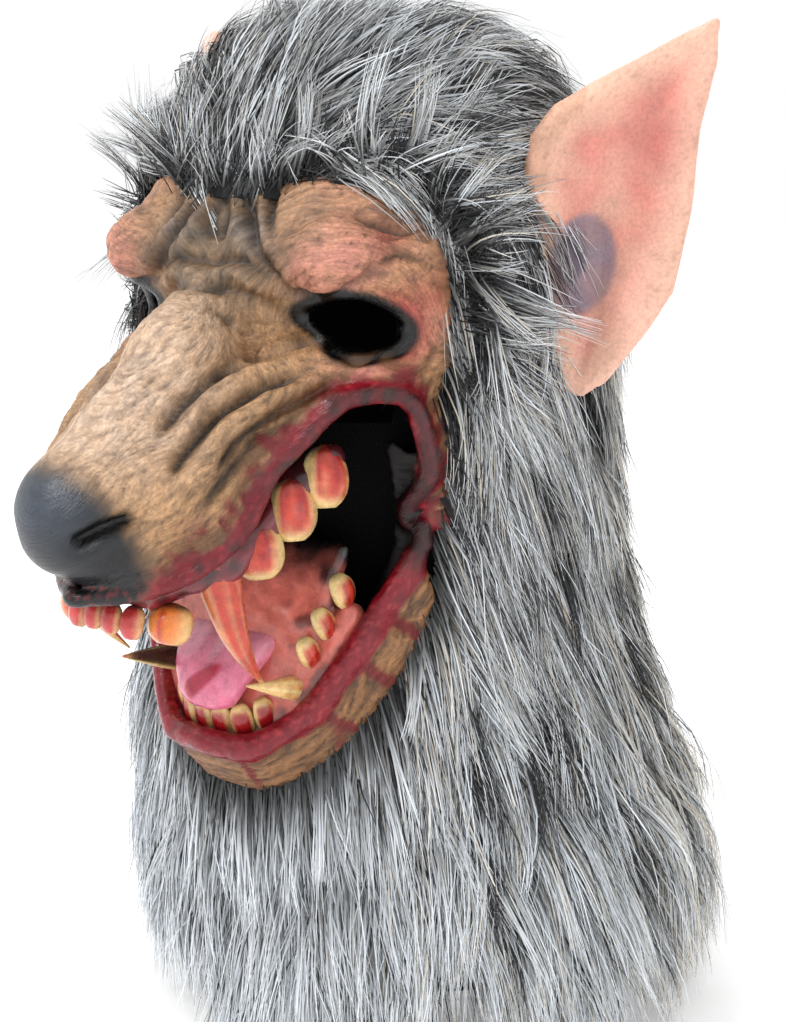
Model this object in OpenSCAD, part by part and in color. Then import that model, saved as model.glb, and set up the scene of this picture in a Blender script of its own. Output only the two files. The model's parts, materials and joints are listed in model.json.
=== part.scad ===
// Full-head latex wolf mask with a fur hood. Millimetres, +Z up, face towards -Y.
// The origin is on the head's centre line, in the plane of the neck rim.

/* [Head shell] */
// Width of the latex head shell at the temples
head_w = 176; // [150:1:200]
// Foremost point of the head shell at the temples, ahead of the centre line
head_front = 92; // [84:1:100]
// Rearmost point of the head shell, behind the centre line
head_back = 106; // [95:1:125]
// Height of the crown above the neck rim
crown_z = 286; // [270:1:310]
// Height of the widest level, at the temples
temple_z = 190; // [175:1:205]
// Width of the neck opening, over the latex
neck_w = 160; // [140:1:180]
// Front of the neck, ahead of the centre line
neck_front = 46; // [38:1:50]
// Back of the neck, behind the centre line
neck_back = 92; // [80:1:110]
// Thickness of the cast latex
latex_t = 3; // [2:0.5:4]

/* [Face] */
// Half width of the face opening at the cheeks
face_half_w = 84; // [80:1:86]
// Height of the hairline
hairline_z = 234; // [228:1:240]
// Height of the eye centres
eye_z = 183; // [180:1:186]
// Distance from the centre line to each eye centre
eye_x = 51; // [47:1:54]
// Width of each eye opening
eye_w = 36; // [28:1:40]
// Height of each eye opening
eye_h = 22; // [16:1:26]
// Distance from the centre line to the tip of the nose
nose_reach = 186; // [176:1:190]
// Depth of each nostril pit
nostril_depth = 10; // [6:1:14]

/* [Jaw] */
// Swing of the jaw from its cast position until the mouth is at its widest
jaw_open = 5; // [2:1:6]
// Swing of the jaw from its cast position until the mouth is most closed
jaw_close = 6; // [2:1:6]
// Clearance round the swinging jaw
jaw_gap = 1.6; // [1:0.2:3]

/* [Teeth] */
// Length of an upper canine from gum to tip
upper_canine_len = 46; // [38:1:50]
// Root radius of an upper canine
upper_canine_r = 7; // [5:0.5:7.5]
// Length of a lower canine from gum to tip
lower_canine_len = 29; // [22:1:32]
// Root radius of a lower canine
lower_canine_r = 5.2; // [4:0.2:5.6]
// Diameter of the root pegs of the canines
canine_peg_d = 6; // [4:0.5:7]
// Diameter of the root pegs of the other teeth
small_peg_d = 3.4; // [2.5:0.1:3.8]
// Length of the root pegs
peg_len = 5; // [3:0.5:6]
// Gap all round between a peg and its socket
peg_gap = 0.15; // [0.1:0.05:0.3]

/* [Ears] */
// Height of an ear from the bottom of its base to its tip
ear_len = 151; // [120:1:165]
// Thickness of the ear's latex
ear_t = 4; // [3:0.5:6]
// Radius of the rolled edge of the ear
ear_rim_r = 4.5; // [3:0.5:6]
// Backward lean of the right ear, which lies flatter than the left
ear_right_lean = 34; // [0:1:36]
// Swing of each ear, each way
ear_swing = 10; // [4:1:12]
// Clearance between a swinging ear and its slot in the fur
ear_slot_gap = 1; // [0.6:0.1:2]

/* [Fur] */
// Thickness of the fur beside the temples
fur_side_t = 16; // [14:1:24]
// Thickness of the fur ahead of the temples
fur_front_t = 10; // [8:1:14]
// Thickness of the fur behind the head
fur_back_t = 14; // [10:1:20]
// Height of the fur above the crown of the shell
fur_crown_t = 20; // [12:1:26]
// Thickness of the hanging fur below the head
fur_t = 24; // [16:1:30]
// Width of the fur at its lower edge
skirt_w = 272; // [250:1:290]
// Length of the fur skirt below the neck rim
skirt_drop = 118; // [90:1:150]
// Height of the seam round the dome
crown_seam_z = 240; // [236:1:250]
// Distance of the side seams behind the centre line
side_seam_y = 62; // [50:1:75]
// Distance of the bib seams from the centre line
bib_seam_x = 64; // [55:1:70]
// Gap between the fur and the latex face
face_gap = 1.2; // [0.6:0.1:2]
// Gap between neighbouring fur panels
seam_gap = 0.6; // [0.4:0.1:1]

/* [Padding] */
// Thickness of the foam pads
pad_t = 7; // [4:1:9]
// Thickness of the screen across the throat
screen_t = 1.2; // [0.8:0.1:2]
// Gap between parts that are glued together
glue_gap = 0.3; // [0.2:0.1:0.5]

/* [Hidden] */

slice_t = 0.02;
ring_fn = 36;
lump_fn = 14;
small_fn = 10;
room_fn = 8;
tooth_fn = 8;
socket_fn = 10;
peg_fn = 24;
eye_fn = 28;
far = 400;

// The hinge line of the jaw runs across the head at the corners of the mouth.
jaw_pivot = [0, -40, 105];
// Lowest level at which the shell is opened for the face.
mouth_floor_z = 62;
// The eyes look outwards by this angle, from this distance ahead of the centre line.
eye_turn = 22;
eye_y = -70;

function mix(a, b, s) = a + (b - a) * s;
function smooth(s) = s * s * (3 - 2 * s);
function flip(p, side) = [side * p.x, p.y, p.z];
function unit(v) = v / norm(v);

// Roundness of the crown: 2 is an ellipse, more is squarer.
dome_power = 2.3;

// One level of a body of oval sections: [height, front y, back y, half width].
function dome(z, top) = sqrt(max(0.0004, 1 - pow((z - temple_z) / (top - temple_z), dome_power)));
function head_low(z) =
  let (s = smooth(z / temple_z))
  [z, -mix(neck_front, head_front, s), mix(neck_back, head_back, s), mix(neck_w, head_w, s) / 2];
function head_high(z) =
  let (mid = (head_back - head_front) / 2, d = dome(z, crown_z))
  [z, mid - (mid + head_front) * d, mid + (head_back - mid) * d, head_w / 2 * d];
function head_at(z) = z <= temple_z ? head_low(max(z, 0)) : head_high(z);
head_steps = [0, 0.16, 0.32, 0.48, 0.64, 0.8, 1];
dome_steps = [0.3, 0.54, 0.74, 0.88, 0.96, 1];
head_levels = concat(
  [for (s = head_steps) head_at(s * temple_z)],
  [for (s = dome_steps) head_at(mix(temple_z, crown_z, s))]
);

fur_top = crown_z + fur_crown_t;
fur_w = head_w + 2 * fur_side_t;
fur_front = head_front + fur_front_t;
fur_back_y = head_back + fur_back_t;
skirt_front = 95;
skirt_back = 165;
function fur_low(z) =
  let (s = smooth((z + skirt_drop) / (temple_z + skirt_drop)))
  [z, -mix(skirt_front, fur_front, s), mix(skirt_back, fur_back_y, s), mix(skirt_w, fur_w, s) / 2];
function fur_high(z) =
  let (mid = (fur_back_y - fur_front) / 2, d = dome(z, fur_top))
  [z, mid - (mid + fur_front) * d, mid + (fur_back_y - mid) * d, fur_w / 2 * d];
function fur_at(z) = z <= temple_z ? fur_low(z) : fur_high(z);
fur_steps = [0, 0.16, 0.32, 0.48, 0.62, 0.75, 0.88, 1];
fur_levels = concat(
  [for (s = fur_steps) fur_at(mix(-skirt_drop, temple_z, s))],
  [for (s = dome_steps) fur_at(mix(temple_z, fur_top, s))]
);
// Below the temples the fur hangs clear of the head shell, at its own thickness.
function hang(level) = [level[0], level[1] + fur_t, level[2] - fur_t, level[3] - fur_t];
hang_levels = concat(
  [hang(fur_low(-skirt_drop)) - [1, 0, 0, 0]],
  [for (level = fur_levels) if (level[0] <= temple_z) hang(level)]
);

// Lumps of the face: groups of [centre, radius], each group blended by a hull.
nose_c = [0, 26 - nose_reach, 119];
muzzle_c = [0, -137, 138];
bridge_c = [0, -110, 168];
middle_lumps = [
  [[[0, -76, 198], 20], [bridge_c, 21]],
  [[bridge_c, 21], [muzzle_c, 23]],
  [[muzzle_c, 23], [nose_c, 26]],
  [[nose_c, 26], [[0, -146, 102], 17]],
  [[[-24, -112, 142], 19], [[24, -112, 142], 19], [[-25, -126, 114], 18], [[25, -126, 114], 18],
   [[0, -146, 104], 17], [muzzle_c, 21]],
  [[[-28, -68, 216], 20], [[28, -68, 216], 20]]
];
side_lumps = [
  [[[20, -80, 204], 17], [[44, -72, 208], 19]],
  [[[44, -72, 208], 19], [[64, -54, 202], 16]],
  [[[64, -54, 202], 16], [[69, -44, 184], 12]],
  [[bridge_c, 21], [muzzle_c, 23], [[24, -112, 142], 21], [[21, -134, 126], 21]],
  [[[24, -112, 142], 21], [[25, -126, 114], 20], [[21, -134, 126], 21], [[14, -144, 106], 17]],
  [[[24, -112, 142], 21], [[42, -82, 158], 17], [[34, -92, 150], 20]],
  [[[42, -82, 158], 17], [[58, -62, 156], 17]],
  [[[58, -62, 156], 17], [[67, -48, 168], 13], [[68, -46, 136], 13]],
  [[[68, -46, 136], 13], [[70, -40, 108], 11]]
];

// Extents of the screen and of the foam pads on the shell's lining.
screen_half_w = 52;
screen_top = 146;
screen_lap = 8;
brow_pad_half_w = 52;
crown_pad_r = 40;
nape_pad_half_w = 45;
nape_pad_z = [110, 170];
chin_pad_half_w = 32;
chin_pad_z = [14, 50];
// Top of the bib, and the room left above it under the jaw.
bib_top = 20;
bib_room = 10;
// The face lies ahead of this plane.
shield_y = -8;
// Edge of the latex face in front view, shaped like a shield; upper right half.
shield_half = [
  [0, hairline_z], [34, hairline_z - 1], [62, hairline_z - 12], [face_half_w - 6, hairline_z - 34],
  [face_half_w, 170], [face_half_w, 122], [face_half_w - 5, 84], [68, 44], [50, 12], [28, -9], [0, -16]
];

// Line of the raised upper lip in side view, as [y, z], from the nose to the mouth's corner.
lip_line = [[-172, 80], [-146, 90], [-124, 108], [-104, 136], [-86, 157], [-70, 152], [-59, 128], [-54, 96]];

// Gum ridges: [centre, radius] along one side, from the middle to the back.
upper_ridge = [
  [[0, -149, 91], 8], [[17, -145, 91], 8], [[34, -125, 99], 9],
  [[38, -107, 109], 8], [[44, -95, 122], 8], [[50, -84, 132], 7]
];
lower_ridge = [
  [[0, -94, 13], 7], [[18, -88, 14], 7], [[30, -79, 28], 8], [[39, -74, 48], 7], [[47, -68, 68], 6]
];

// The jaw's skin: lip edge and lower edge along one side, as [centre, radius].
jaw_lip = [
  [[0, -103, 17], 6], [[21, -98, 17], 6], [[40, -84, 32], 6],
  [[52, -74, 54], 6], [[61, -62, 76], 6], [[66, -52, 91], 5]
];
jaw_hem = [
  [[0, -84, -4], 6], [[18, -82, -2], 6], [[40, -72, 14], 6],
  [[55, -62, 36], 6], [[65, -53, 58], 5], [[69, -49, 75], 5]
];

// Incisors: [root, half width, length] on one side.
incisors_up = [[[4.6, -152, 85], 3.8, 13], [[13.4, -150, 85], 3.8, 14], [[25, -140, 87], 6, 17]];
incisors_low = [[[3.8, -91.5, 20], 3.2, 12], [[11, -90, 20], 3.2, 13], [[18.6, -86, 21], 3.8, 14]];
cheek_up = [[37.5, -107, 103], [44, -94, 115], [50, -83, 126]];
cheek_low = [[37.5, -77, 46], [42, -73, 58], [46, -69, 69]];
cheek_r = 5;
cheek_len = 13;
// Sideways lean of an incisor for each millimetre that it stands off the middle.
incisor_splay = 0.004;
// Share of its radius by which a tooth's widest point stands out of its root point.
tooth_seat = 0.55;
// Share of its root radius that a tooth keeps half way to the tip.
tooth_waist = 0.68;
// How far a peg reaches into its tooth.
peg_sink = 0.5;
canine_tip_r = 1.2;
incisor_tip_r = 1.4;
cheek_tip_r = 1.8;

// A tooth: [root, direction, radius, length, peg diameter, bend, tip radius].
function upper_canine(side) =
  [flip([37, -120, 92], side), flip(unit([2, 23, -42]), side), upper_canine_r, upper_canine_len,
   canine_peg_d, [side, -3, 1], canine_tip_r];
function lower_canine(side) =
  [flip([28.5, -83, 37], side), flip(unit([-2, -27, 9]), side), lower_canine_r, lower_canine_len,
   canine_peg_d, [0, 1, -1.5], canine_tip_r];
function incisors(list, dir) =
  [for (side = [-1, 1], t = list)
    [flip(t[0], side), unit([side * t[0].x * incisor_splay, dir.y, dir.z]), t[1], t[2],
     small_peg_d, [0, 0, 0], incisor_tip_r]];
function cheek_teeth(list, dir, side) =
  [for (place = list)
    [flip(place, side), unit(flip(dir, side)), cheek_r, cheek_len, small_peg_d, [0, 0, 0], cheek_tip_r]];
upper_front = incisors(incisors_up, [0, -0.2, -1]);
lower_front = incisors(incisors_low, [0, -0.35, 1]);
function upper_cheek(side) = cheek_teeth(cheek_up, [0.35, -0.1, -1], side);
function lower_cheek(side) = cheek_teeth(cheek_low, [0.1, -0.35, 1], side);
upper_teeth = concat(upper_front, [upper_canine(-1), upper_canine(1)], upper_cheek(-1), upper_cheek(1));
lower_teeth = concat(lower_front, [lower_canine(-1), lower_canine(1)], lower_cheek(-1), lower_cheek(1));

// Half of the palate and of the mouth floor: points along one edge of each sheet.
palate_edge = [[17, -145, 94], [34, -125, 102], [38, -107, 112], [44, -95, 125], [50, -84, 135]];
floor_edge = [[18, -88, 10], [29, -79, 23], [29, -63, 27]];
chin_edge = [[0, -80, -4], [18, -78, -2], [40, -68, 14]];
// Half the thickness of the palate and mouth floor, and of the skin under the chin.
palate_r = 3;
chin_r = 2;
// The fur under the jaw is a band between two rows of balls, set off from the jaw's lower edge.
beard_back = [[2, 6, -6], 4];
beard_front = [[1, 0, -8], 3];

// Ear: its base, its three directions and its outline beside the base line.
ear_base = [head_w / 2 + 5, 5, temple_z - 2];
ear_up = unit([0.15, 0, 0.99]);
ear_out = unit([0.79, 0.6, -0.12]);
ear_drawn_len = 151;
ear_k = ear_len / ear_drawn_len;
ear_edge = [
  [-6, 36], [0, 54], [8, 74], [20, 95], [36, 112], [42, 88], [44, 50],
  [42, 18], [35, -10], [22, -31], [2, -38]
];
// The ear is cupped: these points of its middle lie behind its edge.
ear_cup = [[20, 14, -7], [26, 46, -5]];
// Outline of the part of the ear that passes through the fur.
ear_slot = [[-14, -42], [-12, 40], [4, 60], [28, 86], [44, 96], [50, 20], [32, -34]];

module ball(item, grow = 0, fn = lump_fn) {
  translate(item[0]) sphere(r = item[1] + grow, $fn = fn);
}

module blend_group(group, grow = 0, fn = lump_fn) {
  hull() {
    for (item = group) ball(item, grow, fn);
  }
}

module both_sides() {
  children();
  mirror([1, 0, 0]) children();
}

module slice(level, grow) {
  translate([0, (level[1] + level[2]) / 2, level[0]])
    scale([level[3] + grow, (level[2] - level[1]) / 2 + grow, 1])
      cylinder(h = slice_t, r = 1, $fn = ring_fn);
}

module stack(levels, grow = 0) {
  for (i = [0 : len(levels) - 2]) hull() {
    slice(levels[i], grow);
    slice(levels[i + 1], grow);
  }
}

module rod(from, to, r, fn) {
  d = to - from;
  translate(from)
    rotate([0, acos(d.z / norm(d)), atan2(d.y, d.x)])
      cylinder(h = norm(d), r = r, $fn = fn);
}

// Everything ahead of a plane inside the shield outline, grown sideways.
module shield(grow = 0) {
  last = len(shield_half) - 2;
  edge = concat(shield_half, [for (i = [last : -1 : 1]) [-shield_half[i].x, shield_half[i].y]]);
  translate([0, shield_y, 0]) rotate([90, 0, 0])
    linear_extrude(height = far) offset(delta = grow) polygon(edge);
}

module cavity() {
  rim = head_levels[0];
  stack(concat([rim - [1, 0, 0, 0]], head_levels), -latex_t);
}

module face_lumps(grow = 0, fn = lump_fn) {
  for (group = middle_lumps) blend_group(group, grow, fn);
  both_sides() for (group = side_lumps) blend_group(group, grow, fn);
}

module mouth_cut() {
  edge = concat(lip_line, [[-54, -60], [-230, -60], [-230, 74]]);
  rotate([90, 0, 90]) translate([0, 0, -far / 2]) linear_extrude(height = far) polygon(edge);
}

module eye_hole(side) {
  translate([side * eye_x, eye_y, eye_z]) rotate([90, 0, side * eye_turn])
    scale([eye_w / 2, eye_h / 2, 1]) cylinder(h = -eye_y, r = 1, center = true, $fn = eye_fn);
}

module nostril(side) {
  mouth = [14, 9 - nose_reach, 112];
  corner = mouth + [7, 5, 3];
  bottom = mouth + [1, nostril_depth, 2];
  blend_group([[flip(mouth, side), 2.6], [flip(corner, side), 1.8], [flip(bottom, side), 2]], 0, small_fn);
}

// The whole cast skin of head and face, before it is divided.
module skin() {
  difference() {
    union() {
      stack(head_levels);
      face_lumps();
    }
    cavity();
    face_lumps(-latex_t, small_fn);
    for (side = [-1, 1]) {
      eye_hole(side);
      nostril(side);
    }
  }
}

module above(z) {
  translate([-far, -far, z]) cube([2 * far, 2 * far, far]);
}

module below(z) {
  translate([-far, -far, z - 2 * far]) cube([2 * far, 2 * far, 2 * far]);
}

// What lies ahead of back between two heights, within half_w of the middle.
module front_part(half_w, back, low, high) {
  translate([-half_w, -far, low]) cube([2 * half_w, far + back, high - low]);
}

// The jaw's skin grown on every side.
module jaw_skin(grow = 0, fn = lump_fn) {
  both_sides() for (i = [0 : len(jaw_lip) - 2])
    blend_group([jaw_lip[i], jaw_lip[i + 1], jaw_hem[i], jaw_hem[i + 1]], grow, fn);
}

// The fur strip under the jaw, grown on every side.
module beard_body(grow = 0, fn = small_fn) {
  both_sides() for (i = [0 : len(jaw_hem) - 2]) hull() {
    for (k = [i, i + 1]) {
      ball([jaw_hem[k][0] + beard_back[0], beard_back[1]], grow, fn);
      ball([jaw_hem[k][0] + beard_front[0], beard_front[1]], grow, fn);
    }
  }
}

// Room for the jaw and its beard at the two limits and in the cast position.
module jaw_room(grow) {
  for (angle = [-jaw_close, 0, jaw_open / 2, jaw_open])
    translate(jaw_pivot) rotate([angle, 0, 0]) translate(-jaw_pivot) {
      jaw_skin(grow, room_fn);
      beard_body(grow, room_fn);
    }
}

module ridge(points, grow = 0) {
  both_sides() for (i = [0 : len(points) - 2]) blend_group([points[i], points[i + 1]], grow, small_fn);
}

// A flattened cone with a rounded root, bent on its way to the tip, on a round peg.
module tooth(t) {
  mid = t[0] + t[1] * t[3] * 0.5 + t[5];
  mid_r = t[2] * tooth_waist;
  hull() {
    ball([t[0] + t[1] * t[2] * tooth_seat, t[2]], 0, tooth_fn);
    ball([mid, mid_r], 0, tooth_fn);
  }
  hull() {
    ball([mid, mid_r], 0, tooth_fn);
    ball([t[0] + t[1] * (t[3] - t[6]), t[6]], 0, tooth_fn);
  }
  rod(t[0] + t[1] * peg_sink, t[0] - t[1] * peg_len, t[4] / 2, peg_fn);
}

// The socket for a tooth: a hole for its peg and a cup for its lower half.
module tooth_socket(t) {
  rod(t[0] + t[1] * peg_sink, t[0] - t[1] * (peg_len + peg_gap), t[4] / 2 + peg_gap, socket_fn);
  hull() {
    ball([t[0] + t[1] * t[2] * tooth_seat, t[2]], glue_gap, tooth_fn);
    ball([t[0] + t[1] * t[3] * 0.5 + t[5], t[2] * tooth_waist], glue_gap, tooth_fn);
  }
}

module teeth(list) {
  for (t = list) tooth(t);
}

// A thin sheet between the two sides of the mouth.
module sheet(edge, r) {
  for (i = [0 : len(edge) - 2]) hull() {
    for (side = [-1, 1], k = [i, i + 1]) ball([flip(edge[k], side), r], 0, small_fn);
  }
}

module upper_gum_body(grow = 0) {
  ridge(upper_ridge, grow);
  sheet(palate_edge, palate_r + grow);
}

module lower_gum_body(grow = 0) {
  ridge(lower_ridge, grow);
  sheet(floor_edge, palate_r + grow);
}

module jaw_body(grow = 0) {
  jaw_skin(grow);
  sheet(chin_edge, chin_r + grow);
}

function ear_point(p, side, depth = 0) =
  let (n = cross(ear_out, ear_up))
  flip(ear_base + (ear_out * p.x + ear_up * p.y) * ear_k + n * depth, side);

// The right ear leans back about its base line.
module lean(side) {
  base = flip(ear_base, side);
  angle = side < 0 ? -ear_right_lean : 0;
  translate(base) rotate(a = angle, v = flip(ear_up, side)) translate(-base) children();
}

module ear_shape(side, grow = 0) {
  lean(side) {
    for (i = [0 : len(ear_edge) - 2]) hull() {
      for (k = [i, i + 1]) ball([ear_point(ear_edge[k], side, 2), ear_rim_r], grow, small_fn);
    }
    for (i = [0 : len(ear_edge) - 2]) hull() {
      for (k = [i, i + 1]) ball([ear_point(ear_edge[k], side), ear_t / 2], grow, small_fn);
      for (p = ear_cup) ball([ear_point(p, side, p.z), ear_t / 2], grow, small_fn);
    }
  }
}

// What is given, at rest and turned to both ends of an ear's swing.
module swing_ear(side) {
  base = flip(ear_base, side);
  for (angle = [-ear_swing, 0, ear_swing])
    translate(base) rotate(a = angle, v = flip(ear_up, side)) translate(-base) children();
}

// The slot in the fur that an ear stands in and swings in.
module ear_room(side) {
  hull() swing_ear(side) lean(side)
    for (p = ear_slot, depth = [ear_cup[0].z, 2])
      ball([ear_point(p, side, depth), ear_rim_r], ear_slot_gap, small_fn);
}

module fur_body() {
  difference() {
    stack(fur_levels);
    stack(hang_levels);
    stack(head_levels, glue_gap);
    shield(face_gap);
    face_room(face_gap);
  }
}

module face_room(grow) {
  difference() {
    face_lumps(grow);
    translate([-far, -20, -far]) cube(2 * far);
  }
}

module side_fur(side) {
  difference() {
    fur_body();
    above(crown_seam_z - seam_gap / 2);
    translate([-far, side_seam_y - seam_gap / 2, -far]) cube(2 * far);
    translate([side > 0 ? -2 * far : 0, -far, -far]) cube(2 * far);
    front_part(bib_seam_x + seam_gap / 2, 0, -far, bib_top + bib_room);
    ear_room(side);
    jaw_room(jaw_gap);
  }
}

module cowl() {
  color([0.06, 0.06, 0.07]) difference() {
    stack(head_levels);
    cavity();
    intersection() {
      shield(glue_gap);
      above(mouth_floor_z);
    }
    jaw_room(jaw_gap);
  }
}

module face() {
  color([0.72, 0.56, 0.42]) difference() {
    intersection() {
      skin();
      shield();
      above(mouth_floor_z + glue_gap);
    }
    mouth_cut();
    upper_gum_body(glue_gap);
    jaw_room(jaw_gap);
  }
}

// The screen lies against the inside of the shell, behind the mouth.
module throat_screen() {
  color([0.04, 0.04, 0.05]) intersection() {
    lining(screen_t);
    front_part(screen_half_w, -20, mouth_floor_z - screen_lap, screen_top);
  }
}

module upper_gum() {
  color([0.16, 0.05, 0.06]) difference() {
    upper_gum_body();
    for (t = upper_teeth) tooth_socket(t);
  }
}

module lower_gum() {
  color([0.6, 0.2, 0.2]) difference() {
    lower_gum_body();
    for (t = lower_teeth) tooth_socket(t);
  }
}

module jaw() {
  color([0.5, 0.34, 0.22]) difference() {
    jaw_body();
    lower_gum_body(glue_gap);
  }
}

module beard() {
  color([0.2, 0.2, 0.21]) difference() {
    beard_body();
    jaw_body(glue_gap);
    lower_gum_body(glue_gap);
  }
}

module tongue() {
  root = [[0, -72, 46], 9];
  back = [[0, -82, 43], 12];
  tip = [[0, -88, 39], 8];
  color([0.85, 0.42, 0.5]) {
    blend_group([root, back]);
    blend_group([back, tip]);
  }
}

module fur_crown() {
  color([0.45, 0.44, 0.43]) difference() {
    fur_body();
    below(crown_seam_z + seam_gap / 2);
    for (side = [-1, 1]) ear_room(side);
  }
}

module fur_back() {
  color([0.38, 0.37, 0.36]) difference() {
    fur_body();
    above(crown_seam_z - seam_gap / 2);
    translate([-far, side_seam_y + seam_gap / 2 - 2 * far, -far]) cube(2 * far);
    for (side = [-1, 1]) ear_room(side);
  }
}

module fur_bib() {
  color([0.5, 0.52, 0.55]) difference() {
    intersection() {
      fur_body();
      front_part(bib_seam_x - seam_gap / 2, 0, -far, bib_top);
    }
    jaw_room(jaw_gap);
  }
}

// A layer that lies against the inside of the head shell.
module lining(depth) {
  difference() {
    stack(head_levels, -latex_t - glue_gap);
    stack(head_levels, -latex_t - glue_gap - depth);
  }
}

module brow_pad() {
  color([0.3, 0.3, 0.32]) intersection() {
    lining(pad_t);
    front_part(brow_pad_half_w, -40, hairline_z - 28, hairline_z - 6);
  }
}

module crown_pad() {
  color([0.3, 0.3, 0.32]) intersection() {
    lining(pad_t);
    translate([0, 8, temple_z]) cylinder(h = far, r = crown_pad_r);
  }
}

module nape_pad() {
  color([0.3, 0.3, 0.32]) intersection() {
    lining(pad_t);
    translate([-nape_pad_half_w, 40, nape_pad_z[0]])
      cube([2 * nape_pad_half_w, far, nape_pad_z[1] - nape_pad_z[0]]);
  }
}

module chin_pad() {
  color([0.25, 0.25, 0.27]) intersection() {
    lining(pad_t);
    front_part(chin_pad_half_w, -20, chin_pad_z[0], chin_pad_z[1]);
  }
}

module ear(side) {
  color([0.75, 0.5, 0.45]) difference() {
    ear_shape(side);
    swing_ear(side) stack(head_levels, glue_gap);
  }
}

cowl();
face();
throat_screen();
upper_gum();
color([0.8, 0.45, 0.2]) teeth(upper_front);  // upper_incisors
color([0.75, 0.2, 0.15]) teeth([upper_canine(1)]);  // upper_canine_left
color([0.75, 0.2, 0.15]) teeth([upper_canine(-1)]);  // upper_canine_right
color([0.82, 0.68, 0.42]) teeth(upper_cheek(1));  // upper_cheek_teeth_left
color([0.82, 0.68, 0.42]) teeth(upper_cheek(-1));  // upper_cheek_teeth_right
brow_pad();
crown_pad();
nape_pad();
fur_crown();
color([0.4, 0.4, 0.4]) side_fur(1);  // fur_left
color([0.42, 0.42, 0.42]) side_fur(-1);  // fur_right
fur_back();
fur_bib();
jaw();
lower_gum();
color([0.65, 0.1, 0.12]) teeth(lower_front);  // lower_incisors
color([0.6, 0.12, 0.12]) teeth([lower_canine(1)]);  // lower_canine_left
color([0.6, 0.12, 0.12]) teeth([lower_canine(-1)]);  // lower_canine_right
color([0.7, 0.3, 0.2]) teeth(lower_cheek(1));  // lower_cheek_teeth_left
color([0.7, 0.3, 0.2]) teeth(lower_cheek(-1));  // lower_cheek_teeth_right
chin_pad();
beard();
tongue();
ear(1);  // ear_left
ear(-1);  // ear_right
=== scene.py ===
"""Looks for the full-head latex wolf mask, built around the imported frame.

Lengths are in mm unless a comment says m. The face is a skin grown from distance fields, then folded and
painted point by point. The fur is ribbons that follow the head's sections. The teeth are lofted rings.
"""

import json
import math
from types import SimpleNamespace

import bpy
import numpy as np
from mathutils import Matrix, Vector, kdtree, noise

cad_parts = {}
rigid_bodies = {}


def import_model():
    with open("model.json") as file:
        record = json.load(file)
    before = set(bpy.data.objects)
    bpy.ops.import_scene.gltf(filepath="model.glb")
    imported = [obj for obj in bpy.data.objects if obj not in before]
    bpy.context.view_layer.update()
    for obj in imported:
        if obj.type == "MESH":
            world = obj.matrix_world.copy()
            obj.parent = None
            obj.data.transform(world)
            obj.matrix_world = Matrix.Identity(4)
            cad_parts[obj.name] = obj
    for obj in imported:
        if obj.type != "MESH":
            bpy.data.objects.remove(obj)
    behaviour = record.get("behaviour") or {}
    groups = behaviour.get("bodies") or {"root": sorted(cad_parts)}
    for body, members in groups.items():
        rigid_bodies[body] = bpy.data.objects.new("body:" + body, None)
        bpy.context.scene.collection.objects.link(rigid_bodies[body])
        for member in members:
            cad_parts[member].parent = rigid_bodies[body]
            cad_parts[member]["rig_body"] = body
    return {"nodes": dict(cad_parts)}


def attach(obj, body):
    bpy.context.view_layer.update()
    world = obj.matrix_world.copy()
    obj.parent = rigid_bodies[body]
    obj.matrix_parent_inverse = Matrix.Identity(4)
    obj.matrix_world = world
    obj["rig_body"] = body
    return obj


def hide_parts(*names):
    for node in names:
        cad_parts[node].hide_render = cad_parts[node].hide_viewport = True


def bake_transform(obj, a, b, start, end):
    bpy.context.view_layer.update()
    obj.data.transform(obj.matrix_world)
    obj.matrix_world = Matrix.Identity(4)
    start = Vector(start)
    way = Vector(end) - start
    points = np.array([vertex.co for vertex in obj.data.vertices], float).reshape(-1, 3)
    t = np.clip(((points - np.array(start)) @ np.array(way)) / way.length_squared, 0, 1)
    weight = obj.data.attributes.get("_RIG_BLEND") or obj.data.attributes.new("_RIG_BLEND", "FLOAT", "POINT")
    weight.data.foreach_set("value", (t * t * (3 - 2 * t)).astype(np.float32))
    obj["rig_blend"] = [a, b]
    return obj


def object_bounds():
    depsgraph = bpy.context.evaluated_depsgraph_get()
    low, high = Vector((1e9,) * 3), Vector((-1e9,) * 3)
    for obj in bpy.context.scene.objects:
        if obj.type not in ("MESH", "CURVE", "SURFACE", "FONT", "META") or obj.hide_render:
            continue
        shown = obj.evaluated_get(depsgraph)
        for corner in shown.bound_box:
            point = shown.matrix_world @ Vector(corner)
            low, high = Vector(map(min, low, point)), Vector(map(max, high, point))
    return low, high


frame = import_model()
CAD_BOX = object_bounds()
M = 0.001  # one mm in metres


# ---------- small helpers ----------


def arr(*rows):
    return np.array(rows, float)


def point(x, y, z):
    return np.array((x, y, z), float)


def unit(v):
    v = np.asarray(v, float)
    return v / np.maximum(np.linalg.norm(v, axis=-1, keepdims=True), 1e-9)


def smooth(t):
    t = np.clip(t, 0, 1)
    return t * t * (3 - 2 * t)


def step(lo, hi, x):
    return smooth((x - lo) / (hi - lo))


def mesh_of(name, points, faces):
    """A mesh object from points in mm and faces that all have as many corners."""
    faces = np.asarray(faces, np.int32)
    me = bpy.data.meshes.new(name)
    me.vertices.add(len(points))
    me.vertices.foreach_set("co", (np.asarray(points) * M).astype(np.float32).ravel())
    me.loops.add(faces.size)
    me.loops.foreach_set("vertex_index", faces.ravel())
    me.polygons.add(len(faces))
    me.polygons.foreach_set("loop_start", np.arange(0, faces.size, faces.shape[1], dtype=np.int32))
    me.update(calc_edges=True)
    me.validate()
    me.polygons.foreach_set("use_smooth", np.ones(len(me.polygons), bool))
    obj = bpy.data.objects.new(name, me)
    bpy.context.scene.collection.objects.link(obj)
    return obj


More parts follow.
